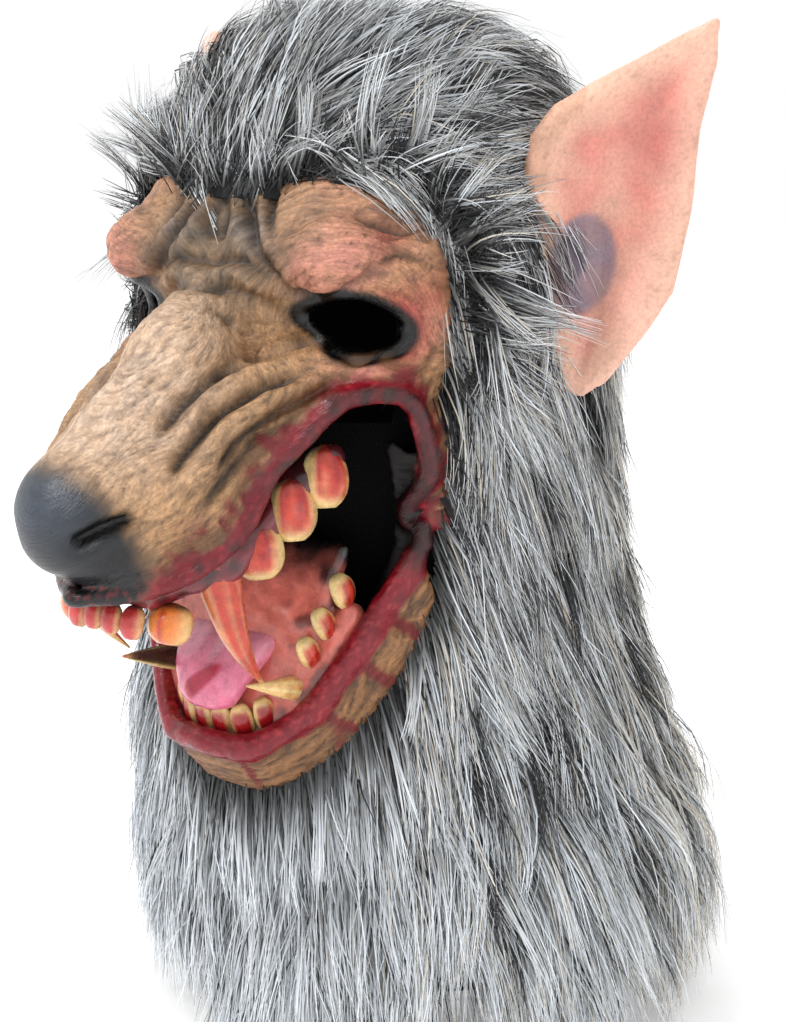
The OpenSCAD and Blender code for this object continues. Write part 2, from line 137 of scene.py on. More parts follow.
def points_of(obj):
    co = np.zeros(len(obj.data.vertices) * 3, np.float32)
    obj.data.vertices.foreach_get("co", co)
    return co.reshape(-1, 3).astype(float) / M


def set_points(obj, points):
    obj.data.vertices.foreach_set("co", (points * M).astype(np.float32).ravel())
    obj.data.update()


def normals_of(obj):
    n = np.zeros(len(obj.data.vertices) * 3, np.float32)
    obj.data.vertex_normals.foreach_get("vector", n)
    return n.reshape(-1, 3).astype(float)


def colour_attr(obj, name, rgb):
    """A colour for each point of the mesh; rgb may be one colour."""
    n = len(obj.data.vertices)
    rgba = np.ones((n, 4), np.float32)
    rgba[:, :3] = rgb
    attribute = obj.data.color_attributes.new(name, "FLOAT_COLOR", "POINT")
    attribute.data.foreach_set("color", rgba.ravel())


def value_attr(obj, name, values):
    attribute = obj.data.attributes.new(name, "FLOAT", "POINT")
    attribute.data.foreach_set("value", np.asarray(values, np.float32))


def vector_attr(obj, name, values):
    attribute = obj.data.attributes.new(name, "FLOAT_VECTOR", "POINT")
    attribute.data.foreach_set("vector", np.asarray(values, np.float32).ravel())


def noise_at(points, scale):
    """Smooth noise from about -1 to 1 at each point, finer at a higher scale."""
    return np.array([noise.noise(Vector(v) * scale) for v in points])


def grid_quads(rows, cols, closed=False):
    """Quads between the points of a grid, row by row; a closed grid joins its last column to its first."""
    i, j = np.meshgrid(np.arange(rows - 1), np.arange(cols if closed else cols - 1), indexing="ij")
    k = (j + 1) % cols
    corners = [i * cols + j, i * cols + k, (i + 1) * cols + k, (i + 1) * cols + j]
    return np.stack(corners, axis=-1).reshape(-1, 4)


def mesh_part(name, points, quads):
    """A mesh of some of the quads of a grid, with the points that they use."""
    used, faces = np.unique(quads, return_inverse=True)
    return mesh_of(name, points[used], faces.reshape(-1, 4))


# ---------- solids from distance fields ----------


def cone_field(p, a, ra, b, rb):
    """Distance to a round cone from a to b."""
    a, b = np.asarray(a, float), np.asarray(b, float)
    ab = b - a
    t = np.clip(((p - a) @ ab) / max(ab @ ab, 1e-6), 0, 1)
    return np.linalg.norm(p - a - t[..., None] * ab, axis=-1) - (ra + (rb - ra) * t)


def blend_fields(fields, k):
    """Smooth union."""
    total = 0
    for f in fields:
        total = total + np.exp(np.clip(-f / k, -60, 60))
    return -k * np.log(total + 1e-30)


def smooth_max(a, b, k):
    h = np.clip(0.5 - 0.5 * (b - a) / k, 0, 1)
    return b + (a - b) * h + k * h * (1 - h)


def smooth_min(a, b, k):
    return -smooth_max(-a, -b, k)


def outline_field(u, v, outline):
    """Signed distance to a closed outline in the plane, negative inside."""
    pts = np.asarray(outline, float)
    best = np.full(u.shape, 1e9)
    inside = np.zeros(u.shape, bool)
    for (x0, y0), (x1, y1) in zip(pts, np.roll(pts, -1, axis=0)):
        dx, dy = x1 - x0, y1 - y0
        t = np.clip(((u - x0) * dx + (v - y0) * dy) / max(dx * dx + dy * dy, 1e-9), 0, 1)
        best = np.minimum(best, np.hypot(u - x0 - t * dx, v - y0 - t * dy))
        if abs(dy) > 1e-9:
            inside ^= ((y0 > v) != (y1 > v)) & (u < x0 + (v - y0) * dx / dy)
    return np.where(inside, -best, best)


def line_distance(p, line):
    """Distance of each point to a polyline and how far along it the nearest point is, from 0 to 1."""
    line = np.asarray(line, float)
    best = np.full(len(p), 1e9)
    at = np.zeros(len(p))
    n = len(line) - 1
    for i in range(n):
        a, ab = line[i], line[i + 1] - line[i]
        t = np.clip(((p - a) @ ab) / max(ab @ ab, 1e-9), 0, 1)
        d = np.linalg.norm(p - a - t[:, None] * ab, axis=1)
        near = d < best
        best = np.where(near, d, best)
        at = np.where(near, (i + t) / n, at)
    return best, at


def along_line(line, n):
    """Evenly spaced points on a polyline."""
    line = np.asarray(line, float)
    s = np.concatenate([[0], np.cumsum(np.linalg.norm(np.diff(line, axis=0), axis=1))])
    at = np.linspace(0, s[-1], n)
    return np.stack([np.interp(at, s, line[:, k]) for k in range(line.shape[1])], axis=1)


def curve(points, n):
    """Evenly spaced points on a smooth curve through the given ones."""
    p = np.asarray(points, float)
    ends = np.concatenate([[2 * p[0] - p[1]], p, [2 * p[-1] - p[-2]]])
    t = np.linspace(0, 1, 12, endpoint=False)[:, None]
    parts = []
    for a, b, c, d in zip(ends, ends[1:], ends[2:], ends[3:]):
        square = a - 2.5 * b + 2 * c - d / 2
        cube = 1.5 * (b - c) + (d - a) / 2
        parts.append(b + (c - a) * t / 2 + square * t**2 + cube * t**3)
    return along_line(np.concatenate(parts + [p[-1:]]), n)


def grid_points(lo, hi, h):
    axes = [np.arange(lo[k], hi[k] + h, h) for k in range(3)]
    return axes, np.stack(np.meshgrid(*axes, indexing="ij"), axis=-1)


def surface_net(field, lo, h):
    """Points and quads where the field changes sign: one point for each cell that the surface crosses."""
    s = field < 0
    nx, ny, nz = [n - 1 for n in field.shape]
    total = np.zeros((nx, ny, nz, 3))
    count = np.zeros((nx, ny, nz))
    corners = [(i, j, k) for i in (0, 1) for j in (0, 1) for k in (0, 1)]
    for a in corners:
        for axis in range(3):
            if a[axis]:
                continue
            b = list(a)
            b[axis] = 1
            va = field[a[0] : a[0] + nx, a[1] : a[1] + ny, a[2] : a[2] + nz]
            vb = field[b[0] : b[0] + nx, b[1] : b[1] + ny, b[2] : b[2] + nz]
            cross = (va < 0) != (vb < 0)
            t = np.where(cross, va / np.where(cross, va - vb, 1), 0)
            for m in range(3):
                total[..., m] += cross * (a[m] + (t if m == axis else 0))
            count += cross
    used = count > 0
    index = np.full(used.shape, -1, np.int64)
    index[used] = np.arange(used.sum())
    cells = np.argwhere(used)
    points = (cells + total[used] / count[used][:, None]) * h + np.asarray(lo, float)
    quads = []
    for axis in range(3):
        u, w = [m for m in range(3) if m != axis]
        here = [slice(1, n) for n in (nx, ny, nz)]
        here[axis] = slice(0, (nx, ny, nz)[axis])
        there = list(here)
        there[axis] = slice(1, (nx, ny, nz)[axis] + 1)
        s0, s1 = s[tuple(here)], s[tuple(there)]
        at = np.argwhere(s0 != s1)
        flip = s0[tuple(at.T)]
        at = at + [0 if m == axis else 1 for m in range(3)]
        ring = []
        for du, dw in ((0, 0), (-1, 0), (-1, -1), (0, -1)):
            c = at.copy()
            c[:, u] += du
            c[:, w] += dw
            ring.append(index[tuple(c.T)])
        q = np.stack(ring, axis=1)
        turn = flip if axis != 1 else ~flip
        q[~turn] = q[~turn][:, ::-1]
        quads.append(q)
    return points, np.concatenate(quads)


def solid(name, field_of, lo, hi, h):
    """An object from a field that is the same on both sides of the middle, worked out on one side only."""
    half_axes, p = grid_points((0, lo[1], lo[2]), hi, h)
    f = field_of(p)
    f = np.concatenate([f[:0:-1], f])
    points, quads = surface_net(f, (-half_axes[0][-1], lo[1], lo[2]), h)
    return mesh_of(name, points, quads)


# ---------- the head's own sections ----------

TEMPLE = 190  # height of the widest section
HEAD = {"w": 176, "front": 92, "back": 106, "crown": 286, "neck_w": 160, "neck_f": 46, "neck_b": 92}
FUR = {"w": 208, "front": 102, "back": 120, "crown": 306, "neck_w": 272, "neck_f": 95, "neck_b": 165}
SKIRT_DROP = 118


def dome(z, top):
    """Share of the temple's section that is left at height z, under a dome that closes at top."""
    rise = np.clip((z - TEMPLE) / (top - TEMPLE), 0, 1)
    return np.sqrt(np.maximum(0.0004, 1 - np.power(rise, 2.3)))


def section(s, z, floor_z):
    """Front y, back y and half width of a body of oval sections at height z."""
    z = np.asarray(z, float)
    t = smooth((z - floor_z) / (TEMPLE - floor_z))
    mid = (s["back"] - s["front"]) / 2
    d = dome(z, s["crown"])
    low = z <= TEMPLE
    front = np.where(low, -(s["neck_f"] + (s["front"] - s["neck_f"]) * t), mid - (mid + s["front"]) * d)
    back = np.where(low, s["neck_b"] + (s["back"] - s["neck_b"]) * t, mid + (s["back"] - mid) * d)
    half = np.where(low, s["neck_w"] + (s["w"] - s["neck_w"]) * t, s["w"] * d) / 2
    return front, back, half


def section_field(p, s, floor_z):
    front, back, half = section(s, p[..., 2], floor_z)
    ry = np.maximum((back - front) / 2, 1)
    rx = np.maximum(half, 1)
    r = np.sqrt((p[..., 0] / rx) ** 2 + ((p[..., 1] - (front + back) / 2) / ry) ** 2)
    side = (r - 1) * np.minimum(rx, ry)
    return np.maximum(side, p[..., 2] - s["crown"])


# ---------- the face ----------

FACE_CONES = [  # the lumps under the skin of the left half: centre, radius, centre, radius
    ((0, -160, 119), 26, (0, -137, 138), 23),
    ((0, -137, 138), 23, (0, -110, 168), 21),
    ((0, -110, 168), 21, (0, -76, 198), 20),
    ((0, -160, 119), 25, (0, -146, 104), 18),
    ((20, -80, 204), 17, (44, -72, 208), 19),
    ((44, -72, 208), 19, (64, -54, 202), 16),
    ((64, -54, 202), 16, (69, -44, 184), 12),
    ((0, -68, 216), 20, (28, -68, 216), 20),
    ((24, -112, 142), 20, (21, -134, 126), 21),
    ((21, -134, 126), 21, (14, -144, 106), 17),
    ((25, -126, 114), 19, (14, -144, 106), 17),
    ((24, -112, 142), 20, (25, -126, 114), 19),
    ((24, -112, 142), 20, (34, -92, 150), 20),
    ((34, -92, 150), 20, (42, -82, 158), 17),
    ((42, -82, 158), 17, (58, -62, 156), 17),
    ((58, -62, 156), 17, (67, -48, 168), 13),
    ((58, -62, 156), 17, (68, -46, 136), 13),
    ((68, -46, 136), 13, (70, -40, 108), 11),
]
FACE_K = 4.0  # how softly the lumps run together
FACE_SHRINK = 3.0  # how far the blend swells, taken off again
WALL = 4.2
FACE_STEP = 1.6
LIP_LINE = [  # upper edge of the mouth from the side: y, z
    (-168, 87), (-148, 92), (-126, 108), (-106, 134), (-90, 153),
    (-76, 160), (-64, 153), (-56, 134), (-50, 112), (-47, 96),
]
SHIELD = [  # edge of the face's latex from the front: x, z
    (0, 231), (14, 230), (24, 233), (36, 239), (48, 240), (60, 236), (70, 229),
    (80, 216), (88, 196), (92, 170), (90, 122), (82, 84), (74, 58),
]
JAW_LIP = arr((0, -103, 17), (21, -98, 17), (40, -84, 32), (52, -74, 54), (61, -62, 76), (66, -52, 91))
JAW_HEM = arr((0, -84, -4), (18, -82, -2), (40, -72, 14), (55, -62, 36), (65, -53, 58), (69, -49, 75))
EYE = point(51, -70, 183)
EYE_TURN = math.radians(22)
NOSTRIL = curve([(17, -178, 114), (22, -172, 118), (26, -163, 121)], 9)
EDGE_Z = [-20, 20, 60, 90, 150, 190, 225, 236, 250]
EDGE_Y = [-66, -62, -50, -43, -50, -48, -46, -60, -70]


def edge_y(z):
    """How far back the skin shows at height z, where the fur begins."""
    return np.interp(z, EDGE_Z, EDGE_Y)


def fold(p):
    """The points brought to the left half, rounded over the middle so that nothing creases there."""
    q = np.array(p, float)
    q[..., 0] = np.sqrt(q[..., 0] ** 2 + 9)
    return q


def skin_outside(p):
    """Distance to the outer face of the head's skin."""
    q = fold(p)
    fields = [cone_field(q, a, ra, b, rb) for a, ra, b, rb in FACE_CONES]
    lumps = blend_fields(fields, FACE_K) + FACE_SHRINK
    return smooth_min(lumps, section_field(q, HEAD, 0), 5)


def eye_frame(p):
    """Across, up and out from the eye's middle."""
    q = fold(p) - EYE
    c, s = math.cos(EYE_TURN), math.sin(EYE_TURN)
    return q[..., 0] * c + q[..., 1] * s, q[..., 2], q[..., 0] * s - q[..., 1] * c


def eye_field(p):
    a, b, out = eye_frame(p)
    half = 9.8 * (0.66 + 0.34 * step(-16, 2, a))
    slot = (np.hypot((a - 0.8) / 16, (b + 0.16 * a) / half) - 1) * 9
    return np.maximum(slot, np.abs(out) - 40)


def lip_points():
    """Points along the raised lip, on the outer skin, from the middle of the muzzle to the mouth's corner."""
    line = np.array(LIP_LINE, float)
    along = np.concatenate([[0], np.cumsum(np.linalg.norm(np.diff(line, axis=0), axis=1))])
    at = np.linspace(0, along[-1], 22)
    yz = np.stack([np.interp(at, along, line[:, 0]), np.interp(at, along, line[:, 1])], axis=1)
    xs = np.arange(0, 90, 0.5)
    points = []
    for y, z in yz:
        p = np.stack([xs, np.full(len(xs), y), np.full(len(xs), z + 2.5)], axis=1)
        inside = np.nonzero(skin_outside(p) < 0)[0]
        x = xs[inside[-1]] if len(inside) else 0
        points.append((x, y, z + 1.5))
    points = [p for p in points[::2] if p[2] > 106 or p[1] < -60]
    return curve(points + [(70, -49, 102), tuple(JAW_LIP[-1])], 34)


def chain(q, points, r0, r1):
    """Distance to a round rope through the points, from radius r0 to r1."""
    rs = np.linspace(r0, r1, len(points))
    best = None
    for i in range(len(points) - 1):
        f = cone_field(q, points[i], rs[i], points[i + 1], rs[i + 1])
        best = f if best is None else np.minimum(best, f)
    return best


def jaw_field(q):
    lip, hem = curve(JAW_LIP, 18), curve(JAW_HEM, 18)
    best = None
    for a, b in zip(lip, hem):
        f = cone_field(q, a, 4.6, b, 4.2)
        best = f if best is None else smooth_min(best, f, 4)
    band = chain(q, lip, 5.4, 3.6)
    return smooth_min(best, band, 1.5)


def face_field(p):
    q = fold(p)
    outside = skin_outside(q)
    shell = smooth_max(outside, -(outside + WALL), 1.0)
    front = outline_field(q[..., 0], q[..., 2], SHIELD + [(0, 58)])
    shell = smooth_max(shell, front, 2)
    shell = smooth_max(shell, q[..., 1] - edge_y(q[..., 2]) - 9, 2)
    mouth = outline_field(q[..., 1], q[..., 2], LIP_LINE + [(-47, -60), (-230, -60), (-230, 80)])
    shell = smooth_max(shell, -mouth, 1.5)
    shell = smooth_max(shell, -eye_field(q), 1.5)
    lips = chain(q, LIPS, 3.4, 4.2)
    shell = smooth_min(shell, lips, 2.5)
    return smooth_min(shell, jaw_field(q), 2.5)


LIPS = lip_points()


def make_face():
    return solid("face_skin", face_field, (-90, -196, -16), (90, -6, 242), FACE_STEP)


# ---------- material helpers ----------


def new_material(name):
    mat = bpy.data.materials.new(name)
    mat.use_nodes = True
    nt = mat.node_tree
    return mat, nt, nt.nodes["Principled BSDF"]


def ramp(nt, value, stops):
    node = nt.nodes.new("ShaderNodeValToRGB")
    nt.links.new(value, node.inputs[0])
    elements = node.color_ramp.elements
    while len(elements) < len(stops):
        elements.new(0.5)
    for element, (at, colour) in zip(elements, stops):
        element.position = at
        element.color = (*colour, 1)
    return node.outputs[0]


def mix_colour(nt, mode, factor, a, b):
    node = nt.nodes.new("ShaderNodeMix")
    node.data_type = "RGBA"
    node.blend_type = mode
    for socket, value in ((node.inputs["Factor"], factor), (node.inputs[6], a), (node.inputs[7], b)):
        if isinstance(value, bpy.types.NodeSocket):
            nt.links.new(value, socket)
        elif isinstance(value, tuple):
            socket.default_value = (*value, 1)
        else:
            socket.default_value = value
    return node.outputs[2]


def calc(nt, op, a, b=0.0):
    node = nt.nodes.new("ShaderNodeMath")
    node.operation = op
    for socket, value in zip(node.inputs, (a, b)):
        if isinstance(value, bpy.types.NodeSocket):
            nt.links.new(value, socket)
        else:
            socket.default_value = value
    return node.outputs[0]


def attribute(nt, name):
    node = nt.nodes.new("ShaderNodeAttribute")
    node.attribute_name = name
    return node


def coords(nt):
    return nt.nodes.new("ShaderNodeTexCoord").outputs["Object"]


def noise_of(nt, vector, scale, detail=4, rough=0.55, distort=0.0):
    node = nt.nodes.new("ShaderNodeTexNoise")
    nt.links.new(vector, node.inputs["Vector"])
    node.inputs["Scale"].default_value = scale
    node.inputs["Detail"].default_value = detail
    node.inputs["Roughness"].default_value = rough
    node.inputs["Distortion"].default_value = distort
    return node.outputs[0]


def bump(nt, shader, height, strength, distance_mm):
    node = nt.nodes.new("ShaderNodeBump")
    node.inputs["Strength"].default_value = strength
    node.inputs["Distance"].default_value = distance_mm * M
    nt.links.new(height, node.inputs["Height"])
    nt.links.new(node.outputs[0], shader.inputs["Normal"])


def remap(nt, value, a0, a1, b0, b1):
    node = nt.nodes.new("ShaderNodeMapRange")
    nt.links.new(value, node.inputs["Value"])
    for name, v in (("From Min", a0), ("From Max", a1), ("To Min", b0), ("To Max", b1)):
        node.inputs[name].default_value = v
    return node.outputs[0]


def shaded_paint(nt, shader, shade):
    """Colours the surface with its own paint, darkened or lightened by the shade."""
    paint = attribute(nt, "paint").outputs["Color"]
    combine = nt.nodes.new("ShaderNodeCombineXYZ")
    for socket in combine.inputs:
        nt.links.new(shade, socket)
    nt.links.new(mix_colour(nt, "MULTIPLY", 1.0, paint, combine.outputs[0]), shader.inputs["Base Color"])


# ---------- fur ----------

FACE_EDGE = [  # where the skin meets the fur from the front: x, z
    (0, 227), (14, 226), (24, 229), (36, 235), (50, 236), (64, 230), (78, 214), (86, 196), (89, 170),
    (86, 122), (81, 84), (73, 66), (68, 50), (57, 28), (42, 5), (20, -10), (0, -12),
]
FUR_TONES = [  # shade column from 0 to 1 and its colour
    (0.00, (0.012, 0.012, 0.014)),
    (0.14, (0.03, 0.03, 0.034)),
    (0.24, (0.13, 0.13, 0.135)),
    (0.40, (0.30, 0.30, 0.295)),
    (0.55, (0.48, 0.485, 0.48)),
    (0.68, (0.62, 0.66, 0.70)),
    (0.80, (0.82, 0.87, 0.92)),
    (0.90, (0.76, 0.71, 0.62)),
    (1.00, (0.56, 0.49, 0.39)),
]


ROOT_SHADE = [(0.0, 0.04), (0.2, 0.18), (0.45, 0.7), (0.75, 1)]  # how dark a strand is from root to tip
STEPS = 7  # points along a strand
LOCK_STRANDS = 28  # strands that follow each guide
PIECE_STRANDS = 15000  # most strands in a piece, so that the export keeps every one
LOCK_WIDTH = 1.0
PANELS = ("fur_crown", "fur_left", "fur_right", "fur_back", "fur_bib")


def root_section(z):
    """Section of the backing that the pile grows from: front y, back y and half width."""
    front, back, half = section(FUR, z, -SKIRT_DROP)
    thin = 14.5 + 7.5 * smooth((TEMPLE - z) / 120)
    shrink = dome(z, FUR["crown"])
    return front + thin * shrink, back - thin * shrink, np.maximum(half - thin * shrink, 2)


def root_field(p):
    """Height above the backing."""
    z = np.clip(p[..., 2], -400, 305)
    front, back, half = root_section(z)
    ry, rx = np.maximum((back - front) / 2, 2), np.maximum(half, 2)
    r = np.sqrt((p[..., 0] / rx) ** 2 + ((p[..., 1] - (front + back) / 2) / ry) ** 2)
    return (r - 1) * np.minimum(rx, ry)


def root_normal(p):
    e = 1.5
    f = root_field(p)
    g = [root_field(p + e * np.eye(3)[k]) - f for k in range(3)]
    return unit(np.stack(g, axis=-1))


def backing_grid():
    """Points of the backing: rows of level by columns round the head."""
    over = np.sin(np.linspace(0, math.pi / 2, 26))[1:]
    levels = np.concatenate([np.linspace(-SKIRT_DROP + 26, TEMPLE, 56), TEMPLE + 102 * over])
    turn = np.linspace(0, 2 * math.pi, 145)[:-1]
    rows = []
    for z in levels:
        z = min(z, 291.9)
        front, back, half = root_section(np.array(z))
        y = (front + back) / 2 - (back - front) / 2 * np.cos(turn)
        rows.append(np.stack([half * np.sin(turn), y, np.full(len(turn), z)], axis=1))
    return np.array(rows)


def in_face(p, grow):
    """Which points lie in the bare face, with its edge moved out by grow."""
    edge = outline_field(np.abs(p[:, 0]), p[:, 2], FACE_EDGE)
    return (edge < grow) & (p[:, 1] < edge_y(p[:, 2]) + grow) & (p[:, 2] < 240 + grow)


def near_ear(p, r):
    """Which points lie within r of the ear's glued edge."""
    q = fold(p)
    line = arr((84, -4, 222), (86, 8, 190), (90, 22, 156))
    return line_distance(q, line)[0] < r


def panel_of(p):
    """The name of the panel that each point is on."""
    x, y, z = p[:, 0], p[:, 1], p[:, 2]
    name = np.where(x > 0, "fur_left", "fur_right").astype(object)
    name[(np.abs(x) < 64) & (z < 20) & (y < 0)] = "fur_bib"
    name[y > 62] = "fur_back"
    name[z > 240] = "fur_crown"
    return name


def flow(p, n):
    """Which way the pile is combed at each point."""
    x, y, z = p[..., 0], p[..., 1], p[..., 2]
    middle = np.stack([x * 0.0, x * 0 - 95, np.clip(z, 60, 205)], axis=-1)
    away = unit(p - middle)
    top = step(200, 262, z)
    away_w = 0.35 + 0.9 * top
    down_w = 1.0 - 0.85 * top * (1 - step(-20, 80, y))
    d = away * away_w[..., None] + arr((0, 0, -1)) * down_w[..., None]
    d = d - n * (d * n).sum(-1, keepdims=True)
    return unit(d)


def comb(roots, length, lift, rng, wild):
    """Paths of strands that follow the flow over the head: strands by steps by 3."""
    side = rng.normal(0, wild, (len(roots), 3))
    p = roots.copy()
    path = [p.copy()]
    stride = length / (STEPS - 1)
    for i in range(1, STEPS):
        s = i / (STEPS - 1)
        n = root_normal(p)
        climb = lift * (1 - (1 - s) ** 2) - root_field(p)
        push = np.clip(climb / stride, -0.55, 0.9)
        d = unit(flow(p, n) + n * push[:, None] + side * (0.4 + s))
        p = p + d * stride[:, None]
        path.append(p.copy())
    return np.stack(path, axis=1)


def ribbons(name, path, width, shade, rng):
    """One flat tapered ribbon for each strand, with a shade column and root-to-tip map."""
    n, steps, _ = path.shape
    along = unit(np.gradient(path, axis=1))
    out = root_normal(path.reshape(-1, 3)).reshape(n, steps, 3)
    across = unit(np.cross(along, out))
    tilt = rng.uniform(-0.9, 0.9, n)[:, None, None]
    across = unit(across * np.cos(tilt) + np.cross(along, across) * np.sin(tilt))
    s = np.linspace(0, 1, steps)
    w = width[:, None] * (1.0 - 0.85 * s[None] ** 1.5) / 2
    left, right = path - across * w[..., None], path + across * w[..., None]
    points = np.stack([left, right], axis=2).reshape(-1, 3)
    base = (np.arange(n) * steps * 2)[:, None] + np.arange(steps - 1)[None] * 2
    quads = np.stack([base, base + 1, base + 3, base + 2], axis=-1).reshape(-1, 4)
    obj = mesh_of(name, points, quads)
    uv = obj.data.uv_layers.new(name="OFBake")
    shade = np.clip(shade, 0.004, 0.996)[:, None]
    along = s[None] * 0.98 + 0.01
    u = [np.broadcast_to(shade + half, (n, steps - 1)) for half in (-0.003, 0.003)]
    v = [np.broadcast_to(end, (n, steps - 1)) for end in (along[:, :-1], along[:, 1:])]
    corners = ((0, 0), (1, 0), (1, 1), (0, 1))
    uvs = np.stack([np.stack([u[i], v[j]], -1) for i, j in corners], axis=2)
    uv.data.foreach_set("uv", uvs.astype(np.float32).ravel())
    return obj


def sample_grid(grid, n, rng):
    """Points spread evenly over the backing."""
    a, b = grid[:-1], grid[1:]
    a2, b2 = np.roll(a, -1, axis=1), np.roll(b, -1, axis=1)
    area = np.linalg.norm(np.cross(a2 - a, b - a), axis=-1).ravel()
    pick = rng.choice(len(area), n, p=area / area.sum())
    u, v = rng.random((n, 1)), rng.random((n, 1))
    a, a2, b, b2 = [q.reshape(-1, 3)[pick] for q in (a, a2, b, b2)]
    return (a * (1 - u) + a2 * u) * (1 - v) + (b * (1 - u) + b2 * u) * v


def hem_height(p):
    """Height of the lower edge of the pile, by the direction from the middle."""
    turn = np.degrees(np.arctan2(p[:, 0], -p[:, 1]))
    at = [-180, -90, -45, -18, 0, 38, 50, 60, 85, 120, 180]
    return np.interp(turn, at, [-110, -100, -88, -94, -122, -124, -104, -100, -116, -112, -110])


def fur_lengths(p, rng):
    z = p[:, 2]
    base = 34 + 12 * step(240, 200, z) + 22 * step(190, 60, z) + 20 * step(60, -40, z)
    return base * rng.uniform(0.8, 1.2, len(p))


def shades(p, rng, dark):
    """Shade column for each strand by where it grows."""
    n = len(p)
    x, y, z = p[:, 0], p[:, 1], p[:, 2]
    pale = rng.random(n)
    cool = step(40, -20, y) * step(140, 30, z) * step(70, 10, x)
    warm = step(0, 60, y) * 0.8 + 0.3 * step(200, 260, z) * step(20, -40, x) + 0.25 * step(30, 80, x)
    tone = 0.32 + 0.34 * rng.random(n) + 0.16 * step(150, 0, z)
    tone = np.where(pale < 0.30 + 0.40 * cool, 0.68 + 0.15 * rng.random(n), tone)
    tone = np.where(rng.random(n) < warm * 0.5, 0.84 + 0.16 * rng.random(n), tone)
    return np.where(rng.random(n) < dark, 0.16 * rng.random(n), tone)


def waves(roots, rng):
    """Sideways wander of each lock, wilder on the crown."""
    s = np.linspace(0, 1, STEPS)[None, :, None]
    side = rng.normal(0, 1, (len(roots), 1, 3))
    turn = rng.uniform(1.5, 4.5, (len(roots), 1, 1))
    phase = rng.uniform(0, 6.3, (len(roots), 1, 1))
    size = (1.6 + 1.4 * step(195, 235, roots[:, 2]))[:, None, None]
    return size * side * (np.sin(turn * s + phase) - np.sin(phase)) * np.minimum(s * 2, 1)


def place_guides(grid, rng):
    """Roots of the locks: spread over the backing, and closer along the face's edge."""
    guides = sample_grid(grid, 4400, rng)
    rim = curve([(x, edge_y(z), z) for x, z in FACE_EDGE[:13]], 260)
    rim = rim + rng.normal(0, 2.5, rim.shape) + [0, 5, 3]
    rim = np.concatenate([rim, rim * [-1, 1, 1]])
    rim = rim - root_normal(rim) * root_field(rim)[:, None]
    guides = np.concatenate([guides, rim])
    return guides[~in_face(guides, 1.0) & ~near_ear(guides, 12)]


def lock_lifts(guides, rng):
    """How far each lock stands off: flat on the crown, loose at the hem and flared at the sides."""
    n = len(guides)
    x, y, z = guides.T
    far_side = step(-10, -70, x) * step(185, 225, z)
    flare = step(40, 90, x) * step(70, -20, z)
    tuft = step(-50, -95, x) * np.exp(-(((z - 34) / 30) ** 2)) * step(20, -20, y)
    lift = rng.uniform(4, 14, n) * (1 - 0.8 * step(200, 240, z)) + rng.uniform(0, 14, n) * step(120, -40, z)
    lift = lift + rng.uniform(8, 24, n) * far_side + rng.uniform(0, 30, n) * flare
    return lift + 22 * tuft


def hem_room(guides, rng):
    """Height of each root over the ragged hem."""
    notch = 12 * np.sin(9 * np.arctan2(guides[:, 0], -guides[:, 1]) + 1)
    return guides[:, 2] - hem_height(guides) + notch + rng.normal(0, 9, len(guides))


def gather_locks(path, guides, big, rng):
    """Draws the tips of neighbouring guides together into broad locks."""
    big_path = comb(big, np.full(len(big), 62.0), np.full(len(big), 11.0), rng, 0.16)
    tree = kdtree.KDTree(len(big))
    for i, p in enumerate(big):
        tree.insert(p, i)
    tree.balance()
    home = np.array([tree.find(p)[1] for p in guides])
    amount = (0.5 * smooth(np.linspace(0, 1, STEPS)) ** 1.2)[None, :, None]
    gap = (guides - big[home])[:, None, :]
    return path * (1 - amount) + (big_path[home] + gap * 0.35) * amount


def grow_strands(guides, g_path, owner, rng):
    """Strands round each guide, closing towards its tip, with some that stray."""
    n = len(owner)
    s = np.linspace(0, 1, STEPS)
    spread = rng.normal(0, 4.6, (n, 3))
    normal = root_normal(guides)[owner]
    spread -= normal * (spread * normal).sum(1, keepdims=True)
    tight = rng.choice([0.9, 0.75, 0.35, -0.3], n, p=[0.4, 0.34, 0.2, 0.06])
    fall = 1 - tight[:, None] * (smooth(s) ** 1.1)[None]
    jitter = rng.normal(0, 1.0, (n, 1, 3)) * (s[None, :, None] ** 1.5)
    jitter = jitter * rng.choice([1.2, 3.0, 7.0], n, p=[0.6, 0.32, 0.08])[:, None, None]
    reach = rng.uniform(0.72, 1.08, n)[:, None, None]
    base = g_path[owner]
    return base[:, :1] + (base - base[:, :1]) * reach + spread[:, None, :] * fall[..., None] + jitter


